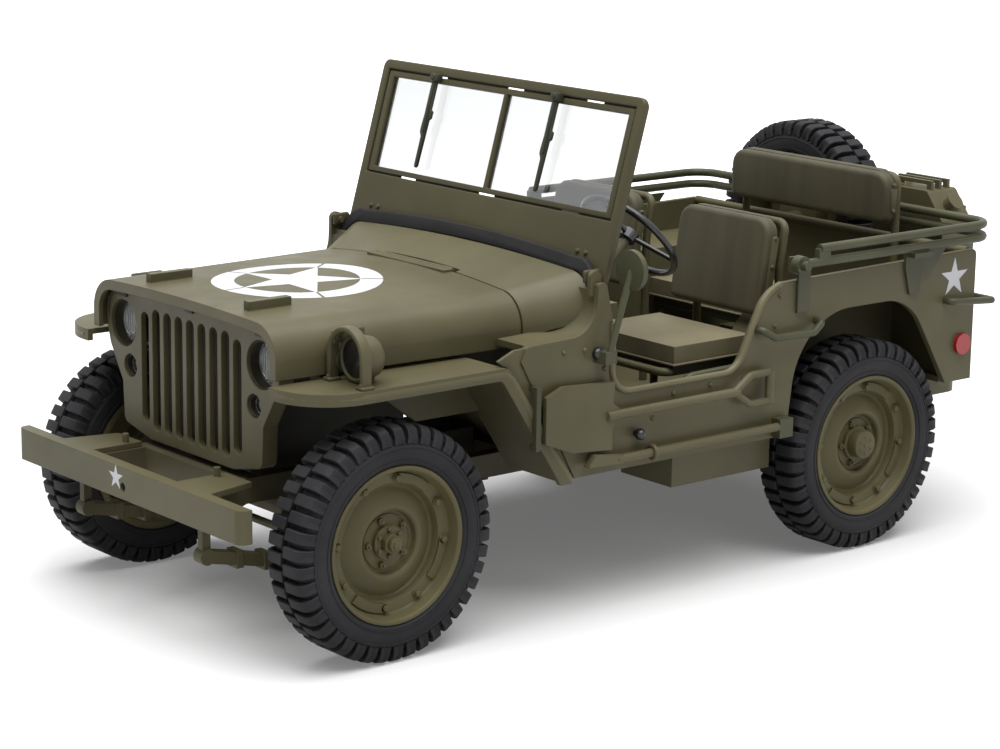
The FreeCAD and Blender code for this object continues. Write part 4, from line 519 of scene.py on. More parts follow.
studio = {"floorSize": 9.0, "floorTone": 0.62, "whiteNear": 0.06, "whiteFar": 0.44,
          "glowNear": 0.13, "glowFar": 1.02, "skyLevel": 0.05,
          "lamps": {"topLamp": ((0.1, 0.1, 1.2), 1.5, 38.0),  # place, width and power
                    "frontLamp": ((1.1, 0.3, 0.6), 0.8, 0.25),
                    "sideLamp": ((0.1, 1.1, 0.6), 0.8, 1.9)}}
view = {"place": (0.330034, 0.384795, 0.148441), "look": (-0.62316, -0.74985, -0.22225),
        "roll": 0.8175, "focal": 98.08, "sensor": 36, "near": 0.01, "far": 20}


def whiteForCamera(tree):
    # 1 for what the lens, a reflection or a pane sees, 0 for light that falls on the model
    path = tree.nodes.new("ShaderNodeLightPath")
    seen = mathNode(tree, "MAXIMUM", path.outputs["Is Camera Ray"], path.outputs["Is Glossy Ray"])
    return mathNode(tree, "MAXIMUM", seen, path.outputs["Is Transmission Ray"])


def makeFloor():
    # pale paper whose glow, for the lens and for reflections, grows with distance from the model: it shows white
    # far off, and the weaker glow near the model is painted shade round it, added to the lamps' own shadow
    deselectAll()
    bpy.ops.mesh.primitive_grid_add(x_subdivisions=4, y_subdivisions=4, size=studio["floorSize"],
                                    location=(0, 0, 0))
    floor = bpy.context.object
    floor.name = "studioFloor"
    material = bpy.data.materials.new("studioPaper")
    material.use_nodes = True
    tree = material.node_tree
    tree.nodes.remove(tree.nodes["Principled BSDF"])
    paper = addNode(tree, "BsdfDiffuse", {"Color": (studio["floorTone"],) * 3 + (1,)})
    reach = addNode(tree, "VectorMath", {0: ownPlace(tree)}, operation="LENGTH")
    lift = spread(tree, reach.outputs["Value"], studio["glowNear"], studio["glowFar"],
                  studio["whiteNear"], studio["whiteFar"])
    glow = addNode(tree, "Emission", {"Strength": mathNode(tree, "MULTIPLY", lift,
                                                           whiteForCamera(tree))})
    both = addNode(tree, "AddShader", {0: paper.outputs["BSDF"], 1: glow.outputs["Emission"]})
    wire(tree, tree.nodes["Material Output"], {"Surface": both.outputs["Shader"]})
    floor.data.materials.append(material)


def makeSky():
    world = bpy.data.worlds.new("studioWhite")
    bpy.context.scene.world = world
    world.use_nodes = True
    tree = world.node_tree
    level = spread(tree, whiteForCamera(tree), studio["skyLevel"], 1.0, 0, 1)
    wire(tree, tree.nodes["Background"], {"Color": (1, 1, 1, 1), "Strength": level})


def makeLamps():
    for name, (place, width, power) in studio["lamps"].items():
        deselectAll()
        bpy.ops.object.light_add(type="AREA", location=place)
        lamp = bpy.context.object
        lamp.name = name
        lamp.data.shape = "RECTANGLE"
        lamp.data.size = lamp.data.size_y = width
        lamp.data.energy = power
        lamp.rotation_euler = Vector(place).to_track_quat("Z", "Y").to_euler()


def makeCamera():
    data = bpy.data.cameras.new("camera")
    data.lens, data.sensor_width = view["focal"], view["sensor"]
    data.clip_start, data.clip_end = view["near"], view["far"]
    camera = bpy.data.objects.new("camera", data)
    bpy.context.scene.collection.objects.link(camera)
    camera.location = view["place"]
    look = Vector(view["look"]).to_track_quat("-Z", "Y")
    camera.rotation_mode = "QUATERNION"
    camera.rotation_quaternion = look @ Quaternion(upward, math.radians(view["roll"]))
    bpy.context.scene.camera = camera


makeFloor()
makeSky()
makeLamps()
makeCamera()
bpy.context.scene.view_settings.view_transform = "Standard"
print("stage: studio set")


# ---- wheels: a lugged tyre and a pressed steel rim, modelled once about the Y axis, then copied

tyre = {"radius": 20.3, "halfWidth": 5.2, "bead": 13.62, "lugs": 42, "lugWidth": 1.95,
        "lugHigh": 1.7, "lugCrown": 0.45, "shoulder": 0.75, "steps": 96,
        "lines": ((14.6, 5.03), (16.75, 5.05)), "lineThick": 0.09}
rim = {"lip": 13.6, "bolts": 4, "boltCircle": 11.15, "boltFace": 2.42, "pairAngle": 36,
       "firstPair": 12, "nutCircle": 4.0, "nuts": 5, "firstNut": 20, "hole": (4.72, 1.42, 0.16)}
hubs = {  # drums as (out, radius, length, sides, softening); the bolt also has its circle
    "front": {"drums": ((1.75, 2.95, 0.9, 30, 0.18), (2.7, 1.85, 1.4, 6, 0.2),
                        (3.7, 1.35, 1.3, 8, 0.25), (4.4, 0.75, 0.5, 12, 0.15)),
              "circle": 2.35, "bolt": (2.35, 0.52, 0.6, 6, 0.1)},
    "rear": {"drums": ((1.7, 3.3, 0.8, 30, 0.15), (2.9, 2.75, 2.9, 36, 0.3),
                       (4.32, 0.5, 0.3, 12, 0.1)),
             "circle": 1.6, "bolt": (4.32, 0.3, 0.3, 10, 0.08)}}
hubBolts = 6


def wheelPlaces():
    # name, body, middle and turn about Z of the five wheels
    rows = []
    for joint in frame["joints"]:
        if joint["name"].startswith("spin_"):
            turn = 0 if joint["pos_m"][1] > 0 else 180
            rows.append((joint["name"][5:], joint["child"], Vector(joint["pos_m"]), turn))
    low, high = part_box("tyre_spare")
    rows.append(("spare", "body", (low + high) / 2, 90))
    return rows


def makeCarcass():
    half, bead = tyre["halfWidth"], tyre["bead"]
    side = [(bead, half - 0.75), (bead + 0.5, half - 0.32), (15.4, half - 0.12),
            (16.9, half - 0.16), (17.2, half - 0.3), (17.35, half - 0.62), (18.0, half - 0.8),
            (18.75, half - 1.25), (19.05, half - 2.2), (19.15, 0)]
    profile = [(bead, 0)] + side + [(r, -y) for r, y in reversed(side[:-1])]
    return spun("carcass", profile + profile[:1], tyre["steps"])


def makeLug():
    # one bar of the tread: its end turns down over the shoulder and has a nick in it
    half, top, high = tyre["halfWidth"], tyre["radius"], tyre["lugHigh"]
    shoulder = half - tyre["shoulder"]
    lug = block("lug", mmAt(0, (half + 0.1) / 2, top - high / 2),
                (tyre["lugWidth"], half - 0.3, high), 0)
    editAll(lug)
    for place, across in ((mmAt(0, shoulder, 0), leftward), (mmAt(0, half - 1.7, 0), leftward),
                          (mmAt(0, 0, 0), forward)):
        selectAll()
        bpy.ops.mesh.bisect(plane_co=place, plane_no=across)

    def moved(wanted, by):
        selectWhere(lug, "VERT", wanted)
        bpy.ops.transform.translate(value=mmAt(*by))

    selectWhere(lug, "FACE", lambda c, n: n.z < -0.9 and c.y > shoulder * mm)
    bpy.ops.mesh.extrude_region_move(TRANSFORM_OT_translate={"value": mmAt(0, 0, -1.35)})
    moved(lambda v: v.z > (top - 0.1) * mm and v.y > (half - 0.1) * mm, (0, -0.32, -0.95))
    moved(lambda v: v.z > (top - 0.1) * mm and abs(v.y - shoulder * mm) < 10 * tiny,
          (0, 0, -tyre["lugCrown"]))
    moved(lambda v: abs(v.x) < tiny and v.y > (half - 0.5) * mm, (0, -0.28, 0))
    leaveEdit()
    return roundEdges(lug, 0.13, 1, 40)


def makeTyre():
    lug = makeLug()
    otherRow = copyOf(lug, "otherRow", Matrix.Rotation(math.pi, 4, "Z"))
    pitch = 2 * math.pi / tyre["lugs"]
    parts = [makeCarcass(), ringOf(lug, tyre["lugs"]), ringOf(otherRow, tyre["lugs"], pitch / 2)]
    parts += [hoop(r, y * side, tyre["lineThick"]) for r, y in tyre["lines"] for side in (1, -1)]
    return joinAll("tyreMaster", parts)


def makeRim():
    lip = rim["lip"]
    profile = [(0, 1.4), (4.5, 1.4), (5.35, 1.3), (5.55, 2.3), (6.0, 2.62), (6.6, 2.5), (9.0, 0.95),
               (9.6, 0.75), (9.95, 1.15), (10.25, 2.4), (12.1, 2.45), (12.35, 2.9), (12.75, 4.55),
               (13.1, 4.8), (lip, 4.8), (lip, 4.3), (13.0, 4.2), (13.0, -4.2), (lip, -4.3),
               (lip, -4.8), (12.4, -4.8), (12.1, -4.2), (12.1, 1.2), (9.6, -0.4), (9.0, -0.6),
               (6.0, 0.6), (5.4, -2.4), (0, -2.4)]
    disc = roundEdges(spun("disc", profile, tyre["steps"]), 0.12, 2, 24)
    nut = drum("nut", mmAt(0, 1.75, rim["nutCircle"]), 0.62, 0.75, leftward, 6, 0.08)
    stud = drum("stud", mmAt(0, 2.2, rim["nutCircle"]), 0.28, 0.6, leftward, 10, 0.06)
    nuts = ringOf(joinAll("nuts", [nut, stud]), rim["nuts"], math.radians(rim["firstNut"]))
    pairs = ringOf(makeBoltPair(), rim["bolts"], math.radians(rim["firstPair"]))
    return joinAll("rimMaster", [disc, pairs, nuts, hoop(*rim["hole"])])


def makeBoltPair():
    # a raised pad bent round the rim with a bolt at each end
    circle, low = rim["boltCircle"], rim["boltFace"]
    half = math.radians(rim["pairAngle"]) / 2
    corners = ((-0.8, -0.3), (-0.8, 0.36), (0.8, 0.36), (0.8, -0.3), (-0.8, -0.3))
    pad = drawLine("pad", [mmAt(0, low + out, circle + up) for up, out in corners])
    selectAll()
    bpy.ops.mesh.remove_doubles(threshold=tiny / 10)
    bpy.ops.mesh.spin(steps=10, angle=2 * half, center=(0, 0, 0), axis=leftward)
    leaveEdit()
    pad.rotation_euler = (0, -half, 0)
    pieces = [settle(pad)]
    for angle in (-half, half):
        middle = Vector((math.sin(angle), 0, math.cos(angle))) * circle
        for out, radius, sides, soften in ((0.03, 0.8, 20, 0.1), (0.55, 0.62, 16, 0.22)):
            pieces.append(drum("bolt", (middle + leftward * (low + out)) * mm, radius, 0.66,
                               leftward, sides, soften))
    return joinAll("boltPair", pieces)


def makeHub(kind):
    parts = [drum("step", mmAt(0, out, 0), radius, length, leftward, sides, soften)
             for out, radius, length, sides, soften in hubs[kind]["drums"]]
    out, radius, length, sides, soften = hubs[kind]["bolt"]
    bolt = drum("bolt", mmAt(0, out, hubs[kind]["circle"]), radius, length, leftward, sides, soften)
    return joinAll(kind + "Hub", parts + [ringOf(bolt, hubBolts)])


def makeWheels():
    tyreMaster, rimMaster = makeTyre(), makeRim()
    hubMasters = {kind: makeHub(kind) for kind in hubs}
    for name, body, middle, turn in wheelPlaces():
        place = Matrix.Translation(middle) @ Matrix.Rotation(math.radians(turn), 4, "Z")
        dress(f"tyreTread_{name}", [copyOf(tyreMaster, "tyreCopy", place)], "tyre", 28,
              [f"tyre_{name}"], body)
        parts = [copyOf(rimMaster, "rimCopy", place)]
        if name != "spare":
            parts.append(copyOf(hubMasters[name.split("_")[0]], "hubCopy", place))
        dress(f"rimPressed_{name}", parts, "wheel", 30, [f"rim_{name}"], body)
    for master in (tyreMaster, rimMaster, *hubMasters.values()):
        bpy.data.objects.remove(master)


makeWheels()
print("stage: wheels made")


# ---- windscreen: an outer frame, a flatter frame round the two panes, and slots between them

screen = {"base": (17.8, 57.5), "lean": 15.9, "half": 37.4, "top": 34.0, "foot": 0.6,
          "seamSide": 35.6, "seamLow": 11.85, "seamTop": 32.25, "seam": 0.36,
          "paneSide": 33.8, "paneLow": 13.2, "paneTop": 30.8, "mullion": 0.85,
          "topSlots": (-21.0, 1.5, 23.6), "lowSlots": (-23.6, 0.0, 23.6), "slotHalf": 2.6,
          "bolts": (-31.4, -29.2, 29.2, 31.4), "boltUp": 5.9, "arm": (20.4, 36.7, 60.1)}
leanAngle = math.radians(screen["lean"])
screenOut = Vector((math.cos(leanAngle), 0, math.sin(leanAngle)))
screenUp = Vector((-math.sin(leanAngle), 0, math.cos(leanAngle)))
screenFoot = mmAt(screen["base"][0], 0, screen["base"][1])
screenTurn = Matrix((screenOut, leftward, screenUp)).transposed().to_4x4()


def onScreen(out, across, up):
    # millimetres in front of the screen's middle, to the left, and up along its lean
    return screenFoot + screenOut * out * mm + leftward * across * mm + screenUp * up * mm


def screenBlock(name, out, across, up, size, soften):
    piece = block(name, (0, 0, 0), size, soften)
    piece.matrix_world = Matrix.Translation(onScreen(out, across, up)) @ screenTurn
    return settle(piece)


def framePlate(name, out, thick, outline, holes, soften):
    # a flat plate standing on the screen's plane, with rectangular holes
    piece = plate(name, [onScreen(out, y, t) for y, t in outline], thick, 0)
    cutWith(piece, [screenBlock("hole", out, (y0 + y1) / 2, (t0 + t1) / 2,
                                (thick * 4, y1 - y0, t1 - t0), 0) for y0, y1, t0, t1 in holes])
    return roundEdges(piece, soften, 3) if soften else piece


def makeWindscreen():
    s = screen
    seam, post, reach = s["seam"], s["mullion"] / 2, s["slotHalf"]
    side, low, top = s["seamSide"], s["seamLow"], s["seamTop"]
    paneHoles = [(post, s["paneSide"], s["paneLow"], s["paneTop"]),
                 (-s["paneSide"], -post, s["paneLow"], s["paneTop"])]
    slots = [(y - reach, y + reach, top - seam - 0.1, top + 0.05) for y in s["topSlots"]]
    slots += [(y - reach, y + reach, low - 0.05, low + seam + 0.1) for y in s["lowSlots"]]
    outline = roundedOutline(s["half"] - 0.3, s["foot"] + 0.2, s["top"] - 0.3, 1.4, 1.2)
    backing = framePlate("backing", -0.45, 0.7, outline, paneHoles + slots, 0)
    outline = roundedOutline(s["half"], s["foot"], s["top"], 1.5, 1.2)
    front = framePlate("front", 0.2, 1.3, outline, [(-side, side, low, top)], 0.42)
    side, low, top = side - seam, low + seam, top - seam
    inner = framePlate("inner", 0.1, 0.95, [(-side, low), (side, low), (side, top), (-side, top)],
                       paneHoles, 0.16)
    bolts = [drum("bolt", onScreen(0.9, y, s["boltUp"] - abs(y) * 0.012), 0.42, 0.7, screenOut,
                  12, 0.15) for y in s["bolts"]]
    x, y, z = s["arm"]
    arms = [block("arm", mmAt(x, y * side, z), (3.6, 0.9, 2.3), 0.4, 3) for side in (1, -1)]
    dress("screenFrame", [front, inner] + bolts + arms, "screen", 40, ["windscreen_frame"],
          "windscreen")
    # the backing wears the darker chassis paint: painted shade in the seam between the front and inner frames
    dress("screenBacking", [backing], "chassis", 30, (), "windscreen")
    wide, tall = s["paneSide"] - post + 0.2, s["paneTop"] - s["paneLow"] + 0.2
    panes = [screenBlock("pane", -0.2, side * (s["paneSide"] + post - 0.1) / 2,
                         (s["paneLow"] + s["paneTop"]) / 2, (0.4, wide, tall), 0)
             for side in (1, -1)]
    dress("screenPanes", panes, "glass", 32, ["windscreen_glass"], "windscreen")


wiper = {"places": (-20.0, 15.0), "pivotUp": 31.75, "out": 1.35, "thick": 0.55,
         "blade": [(-0.7, 31.4), (0.8, 31.4), (0.75, 25.6), (1.35, 25.3), (1.3, 23.9), (0.75, 23.6),
                   (0.45, 14.7), (0.15, 14.3), (-0.2, 14.3), (-0.42, 14.7), (-0.4, 20.3),
                   (-0.95, 21.2), (-0.95, 22.2), (-0.75, 24.5)]}


def makeWipers():
    out, pivotUp = wiper["out"], wiper["pivotUp"]
    parts = []
    for y in wiper["places"]:
        blade = [onScreen(out, y + across, up) for across, up in wiper["blade"]]
        pin = onScreen(out + 0.6, y + 0.05, pivotUp)
        parts += [screenBlock("lug", 1.4, y + 0.1, pivotUp, (1.5, 2.3, 1.5), 0.3),
                  plate("arm", blade, wiper["thick"], 0.12),
                  screenBlock("rib", out + 0.35, y + 0.15, 26.0, (0.5, 0.7, 9.5), 0.15),
                  drum("pin", pin, 0.55, 0.9, screenOut, 12, 0.15)]
    dress("screenWipers", parts, "wiper", 40, ["wipers"], "windscreen")


seal = {"corner": (30.2, 53.4), "radius": 6.8, "crown": 61.0, "drop": 1.15, "high": 2.1,
        "sideHigh": 0.8, "turns": (-10, 0, 12, 25, 38, 50, 62, 74), "tail": 3.0,
        "across": (30.0, 26.0, 21.0, 15.0, 8.0), "fallsOver": 29.4, "under": 0.5}


def makeSeal():
    # the rubber band that stands on the cowl's rear edge against the screen's panel
    s = seal
    cornerY, cornerZ = s["corner"]
    lower, upper = [], []
    for degrees in s["turns"]:
        angle = math.radians(max(degrees, 0))
        down = min(degrees, 0) / 10 * s["tail"]
        tall = s["sideHigh"] + (s["high"] - s["sideHigh"]) * math.sin(angle)
        for line, r in ((lower, s["radius"] - s["under"]), (upper, s["radius"] + tall)):
            line.append((cornerY + r * math.cos(angle), cornerZ + r * math.sin(angle) + down))
    for y in s["across"]:
        top = s["crown"] - s["drop"] * (y / s["fallsOver"]) ** 2
        lower.append((y, top - s["under"]))
        upper.append((y, top + s["high"]))
    over = upper + [(0, s["crown"] + s["high"])] + [(-y, z) for y, z in reversed(upper)]
    back = lower + [(0, s["crown"] - s["under"])] + [(-y, z) for y, z in reversed(lower)]
    outline = [onScreen(1.85, y, (z - screen["base"][1]) / math.cos(leanAngle))
               for y, z in over + back[::-1]]
    dress("screenSeal", [plate("band", outline, 1.6, 0.35)], "blackRubber", 45, ["gasket"])


makeWindscreen()
makeWipers()
makeSeal()
print("stage: windscreen made")


# ---- star marks: painted on the hood, the bumper and the rear quarters

starWhite = linear(196, 197, 201)
stars = {  # by node: middle, the axes to the tip, to the side and out, size and ring
    "hood": (spot(-8.8, 0, 58), (forward, leftward, upward), 11.5, (11.05, 15.1, 0.25)),
    "front_bumper": (spot(27, -2.2, 27.2), (upward, leftward, forward), 2.3, None),
    "side_left": (spot(-137.3, 39.6, 50.1), (upward, forward, leftward), 4.0, None),
    "side_right": (spot(-137.3, -39.6, 50.1), (upward, forward, -leftward), 4.0, None)}
starNotch = 0.382  # how far out the inner corners stand, as a share of the tips
starFacing = 0.6  # the paint reaches faces that look out at least this squarely


def starMask(tree, middle, axes, size, ring):
    # 1 inside a five-pointed star, or inside a ring broken at the star's tips
    def number(kind, *values):
        return mathNode(tree, kind, *values)

    def along(axis, output):
        return addNode(tree, "VectorMath", {0: ownPlace(tree, output), 1: axis},
                       operation="DOT_PRODUCT").outputs["Value"]

    tip, side, out = axes
    first, second = (number("MULTIPLY", number("SUBTRACT", along(axis, "Object"), axis.dot(middle)),
                            1 / mm) for axis in (tip, side))
    reach = number("SQRT", number("ADD", number("MULTIPLY", first, first),
                                  number("MULTIPLY", second, second)))
    fifth = 2 * math.pi / 5
    turn = number("ADD", number("ARCTAN2", second, first), fifth * 5.5)
    folded = number("ABSOLUTE", number("SUBTRACT", number("MODULO", turn, fifth), fifth / 2))
    tipward = number("MULTIPLY", reach, number("COSINE", folded))
    sideward = number("MULTIPLY", reach, number("SINE", folded))
    notch = size * starNotch
    slope = Vector((notch * math.sin(fifth / 2), size - notch * math.cos(fifth / 2))).normalized()
    edge = number("ADD", number("MULTIPLY", tipward, slope.x),
                  number("MULTIPLY", sideward, slope.y))
    mask = number("LESS_THAN", edge, size * slope.x)
    if ring:
        inner, outer, gap = ring
        band = number("MULTIPLY", number("GREATER_THAN", reach, inner),
                      number("LESS_THAN", reach, outer))
        band = number("MULTIPLY", band, number("GREATER_THAN", sideward, gap))
        mask = number("MAXIMUM", mask, band)
    return number("MULTIPLY", mask, number("GREATER_THAN", along(out, "Normal"), starFacing))


for nodeName, star in stars.items():
    marked = paintFinish("olive")
    marked.name = nodeName + "Paint"
    tree = marked.node_tree
    shader = tree.nodes["Principled BSDF"]
    under = shader.inputs["Base Color"].links[0].from_socket
    wire(tree, shader, {"Base Color": blend(tree, starMask(tree, *star), under, (*starWhite, 1))})
    coat(nodes[nodeName], marked)
print("stage: star marks painted")


# ---- lamps: the headlamps sit deep in the grille, the guarded lamp stands on the left fender

grilleFront = 79.0
lamps = [{"places": (21.3, -21.3), "up": 49.2, "radius": 4.15, "deep": 2.1, "clear": True},
         {"places": (19.2, -19.2), "up": 41.8, "radius": 1.95, "deep": 1.3, "clear": False}]


def makeHeadlamps():
    tubes, rings, lenses, dark = [], [], [], []
    for lamp in lamps:
        r, deep = lamp["radius"], lamp["deep"]
        tube = [(r, 0), (r, -deep - 1.5), (r - 0.22, -deep - 1.5), (r - 0.22, -0.12), (r - 0.1, 0),
                (r, 0)]
        ring = [(r - 0.2, -0.5), (r - 0.2, 0.1), (r - 0.35, 0.35), (r - 0.6, 0.3), (r - 0.72, 0.0),
                (r - 0.72, -0.5), (r - 0.2, -0.5)]
        bowl = [(r - 0.7, -0.2), (r * 0.62, -1.0), (r * 0.3, -1.5), (0.0, -1.6), (0.0, -1.75),
                (r * 0.32, -1.65), (r * 0.66, -1.12), (r - 0.6, -0.3), (r - 0.7, -0.2)]
        glass = [(r - 0.74, -0.25), (r - 0.74, 0.05), (r * 0.5, 0.42), (0, 0.55), (0, 0.3),
                 (r * 0.5, 0.15), (r - 0.76, -0.25)]
        for y in lamp["places"]:
            middle = mmAt(grilleFront, y, lamp["up"])
            seat = middle - mmAt(deep, 0, 0)
            tubes.append(turned("tube", tube, middle))
            rings += [turned("ring", ring, seat), turned("bowl", bowl, seat)]
            (lenses if lamp["clear"] else dark).append(turned("lens", glass, seat))
            if lamp["clear"]:
                lenses.append(drum("bulb", seat - mmAt(0.7, 0, 0), 0.5, 1.1, forward, 12, 0.2))
    # the tubes are painted dark: painted shade inside the lamp holes
    dress("lampTubes", tubes, "paintedShade", 40, ["lamp_rims"])
    dress("markerLenses", dark, "blackGloss", 50)
    dress("lampRings", rings, "chrome", 50)
    dress("lampLenses", lenses, "lens", 50, ["lamp_lenses"])


fenderLamp = {"x": 71.0, "y": 34.4, "foot": 47.15, "top": 57.0, "half": 5.0, "strap": 0.95,
              "deep": 2.0, "can": 3.7, "canFront": 69.7, "canBack": 65.0, "canUp": 51.4,
              "stalk": (67.6, 48.0)}


def makeFenderLamp():
    f = fenderLamp
    r = f["half"] - f["strap"] / 2
    arch = [mmAt(f["x"], f["y"] - r, f["foot"])]
    for step in range(13):
        angle = math.pi - math.pi * step / 12
        arch.append(mmAt(f["x"], f["y"] + r * math.cos(angle),
                         f["top"] - f["strap"] / 2 - r + r * math.sin(angle)))
    strap = drawLine("strap", arch + [mmAt(f["x"], f["y"] + r, f["foot"])])
    selectAll()
    bpy.ops.mesh.extrude_edges_move(TRANSFORM_OT_translate={"value": mmAt(f["deep"], 0, 0)})
    leaveEdit()
    strap.location.x = -f["deep"] / 2 * mm
    shaped(settle(strap), "SOLIDIFY", thickness=f["strap"] * mm, offset=0)
    roundEdges(strap, 0.25, 3, 40)
    middle = mmAt(f["canFront"], f["y"], f["canUp"])
    back, can = f["canBack"] - f["canFront"], f["can"]
    shell = turned("shell", [(0, back), (can * 0.55, back + 0.15), (can * 0.9, back + 1.2),
                             (can, back + 2.6), (can, -0.6), (can + 0.35, -0.4), (can + 0.35, 0.3),
                             (can - 0.1, 0.45), (can - 0.5, 0.1), (0, 0.0)], middle)
    x, z = f["stalk"]
    parts = [strap, shell, drum("stalk", mmAt(x, f["y"], z), 1.5, 1.9, upward, 20, 0.25)]
    for y in (f["y"] + r, f["y"] - r):
        parts += [block("foot", mmAt(f["x"] + 0.1, y, f["foot"] + 0.3), (2.6, 2.0, 0.6), 0.2),
                  drum("bolt", mmAt(f["x"] + 0.9, y, f["foot"] + 0.8), 0.4, 0.5, upward, 6, 0.08)]
    dress("fenderLamp", parts, "olive", 40, ["blackout_lamp"])
    face = turned("face", [(0, 0.55), (1.5, 0.5), (2.6, 0.35), (can - 0.35, 0.15),
                           (can - 0.4, -0.1), (0, -0.1)], middle)
    dress("face", [face], "blackGloss", 50)


makeHeadlamps()
makeFenderLamp()
print("stage: lamps made")


# ---- seats: hard moulded cushions on sheet pans, backs with side plates and a rolled flap

seats = [  # the two front seats and the bench; the back's middle is (x, y, z)
    {"middle": side * 18.5, "back": -24.7, "front": -5.3, "width": 25.0, "lean": 8.0,
     "backSize": (24.4, 18.4, 3.3), "backMiddle": (-29.43, side * 18.5, 55.16),
     "rivets": (5.6, 0.2, -5.6)} for side in (1, -1)]
seats.append({"middle": 0, "back": -67.2, "front": -48.2, "width": 44.6, "lean": 0,
              "backSize": (44.1, 10.2, 3.2), "backMiddle": (-71.9, 0, 63.3),
              "rivets": (2.6, -2.6)})
cushion = {"top": 43.6, "thick": 3.7, "crown": 0.45, "cuts": 7}


def seatCushion(low, high):
    # low and high corners: crisp sides, a rounded rim and a slightly raised middle
    middle, half = (low + high) / 2 * mm, (high - low) / 2 * mm
    piece = block("pad", middle, high - low, 0)
    editAll(piece)
    bpy.ops.mesh.subdivide(number_cuts=cushion["cuts"])
    selectWhere(piece, "VERT", lambda co: co.z > middle.z + half.z * 0.9)
    leaveEdit()
    for vert in piece.data.vertices:
        if vert.select:
            across = 1 - abs((vert.co.x - middle.x) / half.x) ** 3
            along = 1 - abs((vert.co.y - middle.y) / half.y) ** 3
            vert.co.z += (across * along - 1) * cushion["crown"] * mm
    return roundEdges(piece, 1.0, 4, 50)


def makeCushions():
    top, under = cushion["top"], cushion["top"] - cushion["thick"]
    pads, pans = [], []
    for seat in seats:
        back, front, y, width = (seat[key] for key in ("back", "front", "middle", "width"))
        low, high = Vector((back, y - width / 2, under)), Vector((front, y + width / 2, top))
        pads += [seatCushion(low, high),
                 block("piping", mmAt((back + front) / 2, y, under - 0.22),
                       (front - back + 0.5, width + 0.5, 0.5), 0.22, 3)]
        pans.append(block("pan", mmAt((back + front) / 2 + 0.3, y, under - 1.4),
                          (front - back - 1.6, width - 1.4, 1.9), 0.3))
    dress("cushions", pads, "seat", 35, ["seat_cushions"])
    # the pans are painted dark: painted shade under the cushions
    dress("cushionPans", pans, "seatPanShade", 35)


def makeBacks():
    # each is built upright at the origin, then leaned back and set in place
    covers, plates = [], []
    for seat in seats:
        width, high, thick = seat["backSize"]
        corners = roundedOutline(width / 2, -high / 2, high / 2, 3.2, 1.6)
        cover = plate("cover", [mmAt(0, y, z) for y, z in corners], thick, 0)
        roundEdges(cover, 1.1, 4, 60)
        corners = roundedOutline(width / 2 - 2.6, high / 2 - 4.2, high / 2 + 0.3, 1.0, 0.6)
        flap = plate("flap", [mmAt(-thick * 0.32, y, z) for y, z in corners], thick * 0.7, 0.5)
        ends = []
        for side in (1, -1):
            ends.append(block("end", mmAt(-0.5, side * (width / 2 + 0.02), -0.6),
                              (thick * 0.5, 0.7, high - 5.4), 0.25))
            ends += [drum("rivet", mmAt(-0.4, side * (width / 2 + 0.35), z), 0.42, 0.5, leftward,
                          12, 0.15) for z in seat["rivets"]]
        place = Matrix.Translation(mmAt(*seat["backMiddle"]))
        for piece in (cover, flap, *ends):
            piece.matrix_world = place @ Matrix.Rotation(-math.radians(seat["lean"]), 4, "Y")
            settle(piece)
        covers += [cover, flap]
        plates += ends
    # the covers wear the darker back finish, painted shade on the upright backs
    dress("seatBacks", covers, "seatBack", 35, ["seat_backs"])
    dress("seatBackPlates", plates, "olive", 35)


makeCushions()
makeBacks()
print("stage: seats made")


# ---- body trim: rolled edges, the panel behind the fender, rivets, knobs, hood catches, the dark strip in the hood gap and seat rails

opening = {"sideOut": 39.6, "from": -25.5, "to": 17.9, "low": 39.0, "bead": 0.62,
           "hipFrom": -17, "hipUp": 54.2, "sharp": 55}
fender = {"bead": 0.95, "legBead": 0.85, "edgeUp": 46.15, "nose": (71.9, 29.6, 9.9),
          "rear": (42.6, 39.5), "leg": ((42.6, 39.6, 46.3), (40.9, 39.6, 45.0), (27.4, 39.6, 25.3))}
cowlPanel = {"side": 38.9, "thick": 0.7,
             "outline": [(36.2, 49.9), (39.8, 49.7), (43.4, 48.2), (42.4, 47.3), (41.4, 46.9),
                         (40.2, 45.0), (27.2, 25.7), (26.6, 25.2), (25.0, 25.2), (33.0, 39.0)]}


def edgeBead(nodeName, wanted, radius):
    # a round bead along chosen sharp edges of a merged copy of a node
    twin = copyOf(nodes[nodeName], "bead", Matrix.Identity(4))
    editAll(twin)
    bpy.ops.mesh.remove_doubles(threshold=2 * tiny)
    bpy.ops.mesh.select_all(action="DESELECT")
    bpy.ops.mesh.select_mode(type="EDGE")
    bpy.ops.mesh.edges_select_sharp(sharpness=math.radians(opening["sharp"]))
    leaveEdit()
    for edge in twin.data.edges:
        one, two = (twin.data.vertices[i].co / mm for i in edge.vertices)
        edge.select = edge.select and wanted(one) and wanted(two)
    bpy.ops.object.mode_set(mode="EDIT")
    bpy.ops.mesh.duplicate()
    bpy.ops.mesh.select_all(action="INVERT")
    bpy.ops.mesh.delete(type="VERT")
    selectAll()
    bpy.ops.mesh.remove_doubles(threshold=100 * tiny)
    leaveEdit()
    return thickened(radius)


def bothSides(name, left, finish, angle):
    dress(name, [left, mirrored("right", left)], finish, angle)


